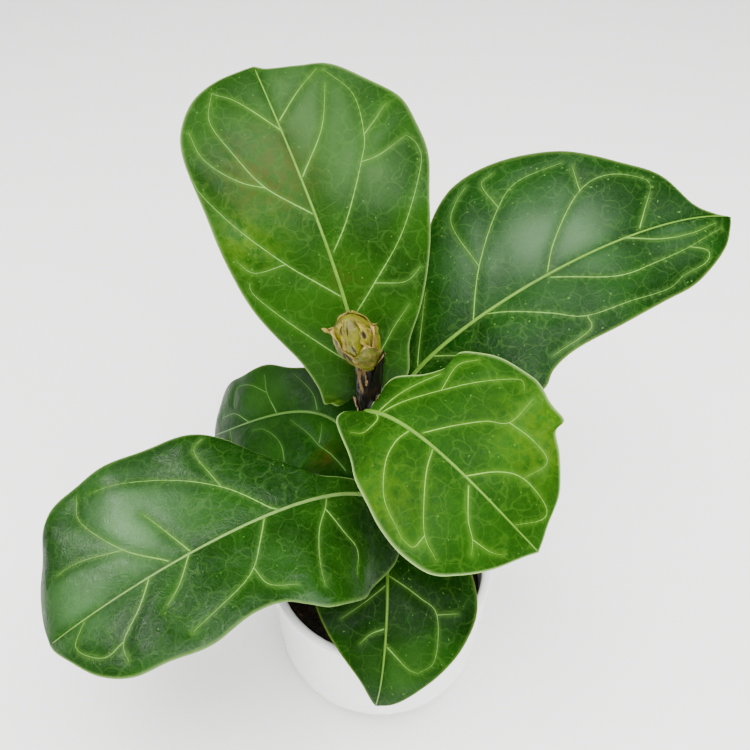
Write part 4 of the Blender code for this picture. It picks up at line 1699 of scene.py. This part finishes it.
def turned(profile: list[Place], segments: int) -> tuple[np.ndarray, list[Face]]:
    """Turn a profile round the upright axis.

    Args:
        profile: radius and height, from the axis below, round the outside, to the axis above.
        segments: points round it.

    Returns:
        The points and faces of the solid.
    """
    rings = np.array(profile[1:-1], float)
    angle = 2 * math.pi * np.arange(segments) / segments
    flat = np.stack([rings[:, :1] * np.cos(angle), rings[:, :1] * np.sin(angle),
                     rings[:, 1:] + 0 * angle], -1).reshape(-1, 3)
    points = np.vstack([[(0, 0, profile[0][1])], flat, [(0, 0, profile[-1][1])]])
    faces = [tuple(v + 1 for v in face) for face in grid_faces(len(rings), segments, wrap=True)]
    top = len(points) - 1
    last = top - segments
    for k in range(segments):
        n = (k + 1) % segments
        faces.append((0, 1 + n, 1 + k))
        faces.append((top, last + k, last + n))
    return points, faces


@dataclass
class GlazedPot:
    """The round white pot.

    Attributes:
        finish: its glaze.
        rim_radius: outside, at the top.
        base_radius: where the line of the wall meets the ground.
        heel_radius: of the round between underside and wall.
        wall: thickness of the wall.
        floor: height of the floor inside.
        segments: points round it.
    """

    finish: GlazeFinish
    rim_radius: float = 65.0
    base_radius: float = 60.0
    heel_radius: float = 38.0
    wall: float = 5.5
    floor: float = 7.0
    segments: int = 192

    def __post_init__(self) -> None:
        """Work out the wall's lean from upright."""
        self.tilt = math.atan2(self.rim_radius - self.base_radius, POT_HEIGHT)

    def reach(self, height: float, inset: float) -> float:
        """Find the radius of a line along the wall.

        Args:
            height: above the ground.
            inset: how far the line lies behind the outer skin.

        Returns:
            The radius.
        """
        return self.base_radius + height * math.tan(self.tilt) - inset / math.cos(self.tilt)

    def heel(self, inset: float, floor: float, count: int) -> list[Place]:
        """Lay out the round from an underside to the wall.

        Args:
            inset: how far it lies behind the outer skin.
            floor: height of the underside.
            count: steps along it.

        Returns:
            Its points.
        """
        radius = self.heel_radius - inset
        height = floor + radius
        centre = (self.reach(height, inset) - radius / math.cos(self.tilt), height)
        return arc(centre, radius, -90, -math.degrees(self.tilt), count)

    def profile(self) -> list[Place]:
        """Lay out the pot's section.

        Returns:
            Its points, from the middle of the underside to the middle of the floor.
        """
        lip = self.wall / 2
        foot = [(6.0, 1.0), (12.0, 1.0), (17.5, 1.0), (18.4, 0.8), (19.0, 0.2), (19.6, 0.0), (22.5, 0.0)]
        outside = self.heel(0.0, 0.0, 26)
        lip_height = POT_HEIGHT - lip
        lip_centre = (self.reach(lip_height, lip), lip_height)
        rim = arc(lip_centre, lip, -math.degrees(self.tilt), 180, 18)
        inside = self.heel(self.wall, self.floor, 20)[::-1]
        return ([(0.0, 1.0)] + foot + outside + straight(outside[-1], rim[0], 16) + rim
                + straight(rim[-1], inside[0], 12) + inside + [(12.0, self.floor), (0.0, self.floor)])

    def build(self) -> bpy.types.Object:
        """Build and dress the pot.

        Returns:
            The piece.
        """
        points, faces = turned(self.profile(), self.segments)
        wobble = Unevenness(3, 160.0, 40.0, 5).at(points)
        radius = np.hypot(points[:, 0], points[:, 1])
        points[:, :2] *= (1 + 0.0022 * wobble * np.clip(points[:, 2] / 40, 0, 1))[:, None]
        bare = np.exp(-((radius - 20.8) / 2.2) ** 4) * (points[:, 2] < 0.6)
        draft = Draft()
        draft.add(points, faces, bare=bare)
        return attach(draft.build("fig_pot", [self.finish.material()]), "pot")


@dataclass(frozen=True)
class MixFinish:
    """Very dark potting mix with bits of bark: partly its own dark brown, partly darkened further as painted
    shade in the pot's hollow.
    """

    # dark and brown are set deeper than the mix's own colour: partly painted shade for the hollow of the pot
    dark: Colour = (0.008, 0.0055, 0.004)
    brown: Colour = (0.026, 0.016, 0.01)
    bark: Colour = (0.075, 0.045, 0.024)

    def material(self) -> bpy.types.Material:
        """Mix the potting mix's material.

        Returns:
            The material.
        """
        paint = Paint("mix_crumbs")
        place = paint.here()
        fine = paint.noise(place, 500.0, 5.0)
        colour = paint.mix(paint.fit(fine, 0.4, 0.7), self.dark, self.brown)
        colour = paint.mix(paint.value("bark"), colour, self.bark)
        return paint.dress(Base_Color=colour, Roughness=0.93, Normal=paint.bump(fine, 0.8, 0.0006))


def crumb_shape() -> tuple[np.ndarray, list[Face]]:
    """Make a twelve-cornered crumb, with its faces found from its equal edges.

    Returns:
        The corners, all 1 from the middle, and the faces.
    """
    gold = (1 + math.sqrt(5)) / 2
    first = [(s, t * gold, 0) for s in (-1, 1) for t in (-1, 1)]
    corners = np.array(first + [(0, s, t) for s, t, _ in first] + [(t, 0, s) for s, t, _ in first])
    near = np.linalg.norm(corners[:, None] - corners[None], axis=2) < 2.1
    faces = []
    for a, b, c in itertools.combinations(range(len(corners)), 3):
        if near[a, b] and near[b, c] and near[a, c]:
            outward = np.dot(np.cross(corners[b] - corners[a], corners[c] - corners[a]), corners[a])
            faces.append((a, b, c) if outward > 0 else (a, c, b))
    return corners / np.linalg.norm(corners[0]), faces


@dataclass
class PottingMix:
    """The mix: an uneven surface strewn with crumbs and bits of bark.

    Attributes:
        finish: its colours.
        pot: the pot that holds it.
        top: its height at the wall.
        crown: how much higher its middle is.
        crumbs: how many lie on it.
        segments: points round it.
    """

    finish: MixFinish
    pot: GlazedPot
    top: float = 79.0
    crown: float = 4.0
    crumbs: int = 900
    segments: int = 120

    def __post_init__(self) -> None:
        """Work out the edge against the wall and the form of the crumbs."""
        self.inset = self.pot.wall + TOUCH_GAP
        self.edge = self.pot.reach(self.top, self.inset)
        self.corners, self.hull = crumb_shape()

    def height(self, radius: float) -> float:
        """Find the smooth height of the mix.

        Args:
            radius: distance from the axis.

        Returns:
            The height.
        """
        share = min(radius / (self.pot.rim_radius - self.pot.wall), 1.0)
        return self.top + self.crown * (1 - share ** 2) ** 2

    def add_crumb(self, draft: Draft, rng: np.random.Generator) -> None:
        """Add one deformed crumb lying on the surface.

        Args:
            draft: gathers the mix.
            rng: draws its form and place.
        """
        size = rng.uniform(0.5, 1.2) if rng.random() < 0.75 else rng.uniform(1.2, 2.6)
        knobbly = self.corners * rng.uniform(0.6, 1.25, (12, 1)) * size
        shape = knobbly * rng.uniform((0.8, 0.5, 0.4), (1.7, 1.1, 0.8))
        turn = rng.uniform(0, 2 * math.pi)
        spin = np.array([[math.cos(turn), -math.sin(turn), 0], [math.sin(turn), math.cos(turn), 0], [0, 0, 1]])
        reach = (self.edge - 3.2) * math.sqrt(rng.uniform(0.006, 1))
        where = rng.uniform(0, 2 * math.pi)
        middle = (reach * math.cos(where), reach * math.sin(where), self.height(reach) + 0.3 * size)
        bark = rng.uniform(0.5, 1.0) if rng.random() < 0.12 else rng.uniform(0, 0.12)
        draft.add(shape @ spin.T + middle, self.hull, bark=bark)

    def build(self) -> bpy.types.Object:
        """Build and dress the mix.

        Returns:
            The piece.
        """
        floor = self.pot.floor + TOUCH_GAP
        lower = self.pot.heel(self.inset, floor, 12)
        rings = [self.edge * share for share in np.linspace(1, 0.04, 44)]
        upper = [(ring, self.height(ring)) for ring in rings] + [(0.0, self.top + self.crown)]
        points, faces = turned([(0.0, floor)] + lower + upper, self.segments)
        radius = np.hypot(points[:, 0], points[:, 1])
        loose = (points[:, 2] > self.top - 0.5) * np.clip((self.edge - radius) / 3, 0, 1)
        points[:, 2] += loose * (1.0 * Unevenness(9, 40, 6).at(points) + 0.5 * Unevenness(10, 7, 2).at(points))
        draft = Draft()
        draft.add(points, faces, bark=0.0)
        rng = np.random.default_rng(4)
        for _ in range(self.crumbs):
            self.add_crumb(draft, rng)
        obj = draft.build("fig_potting_mix", [self.finish.material()], smooth=False)
        return attach(obj, "potting_mix")


# ---------------------------------------------------------------- studio


@dataclass(frozen=True)
class FloorFinish:
    """Plain pale floor."""

    colour: Colour = (0.92, 0.915, 0.9)

    def material(self) -> bpy.types.Material:
        """Mix the floor's material.

        Returns:
            The material.
        """
        paint = Paint("studio_floor")
        soft = paint.noise(paint.here(), 3.0, 2.0)
        dim = tuple(c * 0.97 for c in self.colour)
        return paint.dress(Base_Color=paint.mix(soft, self.colour, dim), Roughness=0.85)


@dataclass(frozen=True)
class Softbox:
    """A square area light aimed at the plant.

    Attributes:
        name: the light's name.
        location: where it hangs, in metres.
        size: of each side, in metres.
        power: in watts.
        mirrored: whether shiny parts show it.
    """

    name: str
    location: tuple[float, float, float]
    size: float
    power: float
    mirrored: bool = True

    def build(self) -> None:
        """Add the light."""
        light = bpy.data.lights.new(self.name, "AREA")
        light.shape = "SQUARE"
        light.size = self.size
        light.energy = self.power
        obj = bpy.data.objects.new(self.name, light)
        obj.location = self.location
        obj.visible_glossy = self.mirrored
        aim = Vector((0.0, 0.0, 0.2)) - Vector(self.location)
        obj.rotation_euler = aim.to_track_quat("-Z", "Y").to_euler()
        bpy.context.scene.collection.objects.link(obj)


@dataclass(frozen=True)
class Studio:
    """Floor, lights, surroundings and camera.

    Attributes:
        finish: the floor's colour.
        floor_reach: half width of the floor, in metres.
        softboxes: the lights.
        sky: colour of the surroundings.
        sky_strength: their brightness.
        lens: the camera's focal length in millimetres.
        eye: where the camera stands, in metres.
        pitch: its turn up from straight down, in degrees.
    """

    finish: FloorFinish
    floor_reach: float = 9.0
    softboxes: tuple[Softbox, ...] = (
        Softbox("key_overhead", (-0.1, -0.5, 1.35), 0.55, 13.0),
        Softbox("fill_left", (-1.15, 0.1, 1.45), 0.5, 13.0),
        Softbox("soft_above", (0.3, -0.2, 2.2), 2.4, 172.0, mirrored=False),
        Softbox("soft_front", (0.6, -2.0, 1.4), 1.6, 60.0, mirrored=False),
    )
    sky: Colour = (0.95, 0.97, 1.0)
    sky_strength: float = 0.15
    lens: float = 43.2
    eye: tuple[float, float, float] = (-0.0032, -0.3126, 0.536)
    pitch: float = 47.0

    def add_floor(self) -> None:
        """Add the floor, just below the pot."""
        reach = self.floor_reach / MM
        corners = [(-reach, -reach), (reach, -reach), (reach, reach), (-reach, reach)]
        draft = Draft()
        draft.add(np.c_[np.array(corners), np.full(4, -FLOOR_DROP)], [(0, 1, 2, 3)])
        draft.build("floor", [self.finish.material()])

    def add_surroundings(self) -> None:
        """Light the plant dimly from all round."""
        world = bpy.data.worlds.new("studio_world")
        world.use_nodes = True
        background = world.node_tree.nodes["Background"]
        background.inputs["Color"].default_value = (*self.sky, 1.0)
        background.inputs["Strength"].default_value = self.sky_strength
        bpy.context.scene.world = world

    def add_camera(self) -> None:
        """Stand the camera in front of the plant."""
        camera = bpy.data.cameras.new("camera")
        camera.lens = self.lens
        camera.sensor_width = 36.0
        obj = bpy.data.objects.new("camera", camera)
        obj.location = self.eye
        obj.rotation_euler = (math.radians(self.pitch), 0.0, 0.0)
        bpy.context.scene.collection.objects.link(obj)
        bpy.context.scene.camera = obj

    def build(self) -> None:
        """Build the studio round the plant."""
        self.add_floor()
        for softbox in self.softboxes:
            softbox.build()
        self.add_surroundings()
        self.add_camera()


def main() -> None:
    """Build every piece and the studio round it."""
    logging.basicConfig(level=logging.INFO, format="%(name)s: %(message)s")
    pot = GlazedPot(GlazeFinish())
    stem = Stem(StemFinish())
    pieces = [pot.build(), PottingMix(MixFinish(), pot).build()]
    pieces.append(stem.build([plan.stalk_height for plan in LEAF_PLANS]))
    pieces += [FigLeaf(plan, stem).build() for plan in LEAF_PLANS]
    pieces += GrowingTip(stem, SheathFinish(), BudFinish(), PaperFinish()).build()
    for piece in pieces:
        LOG.info("%s, %d faces", piece.name, len(piece.data.polygons))
    Studio(FloorFinish()).build()


if __name__ == "__main__":
    main()
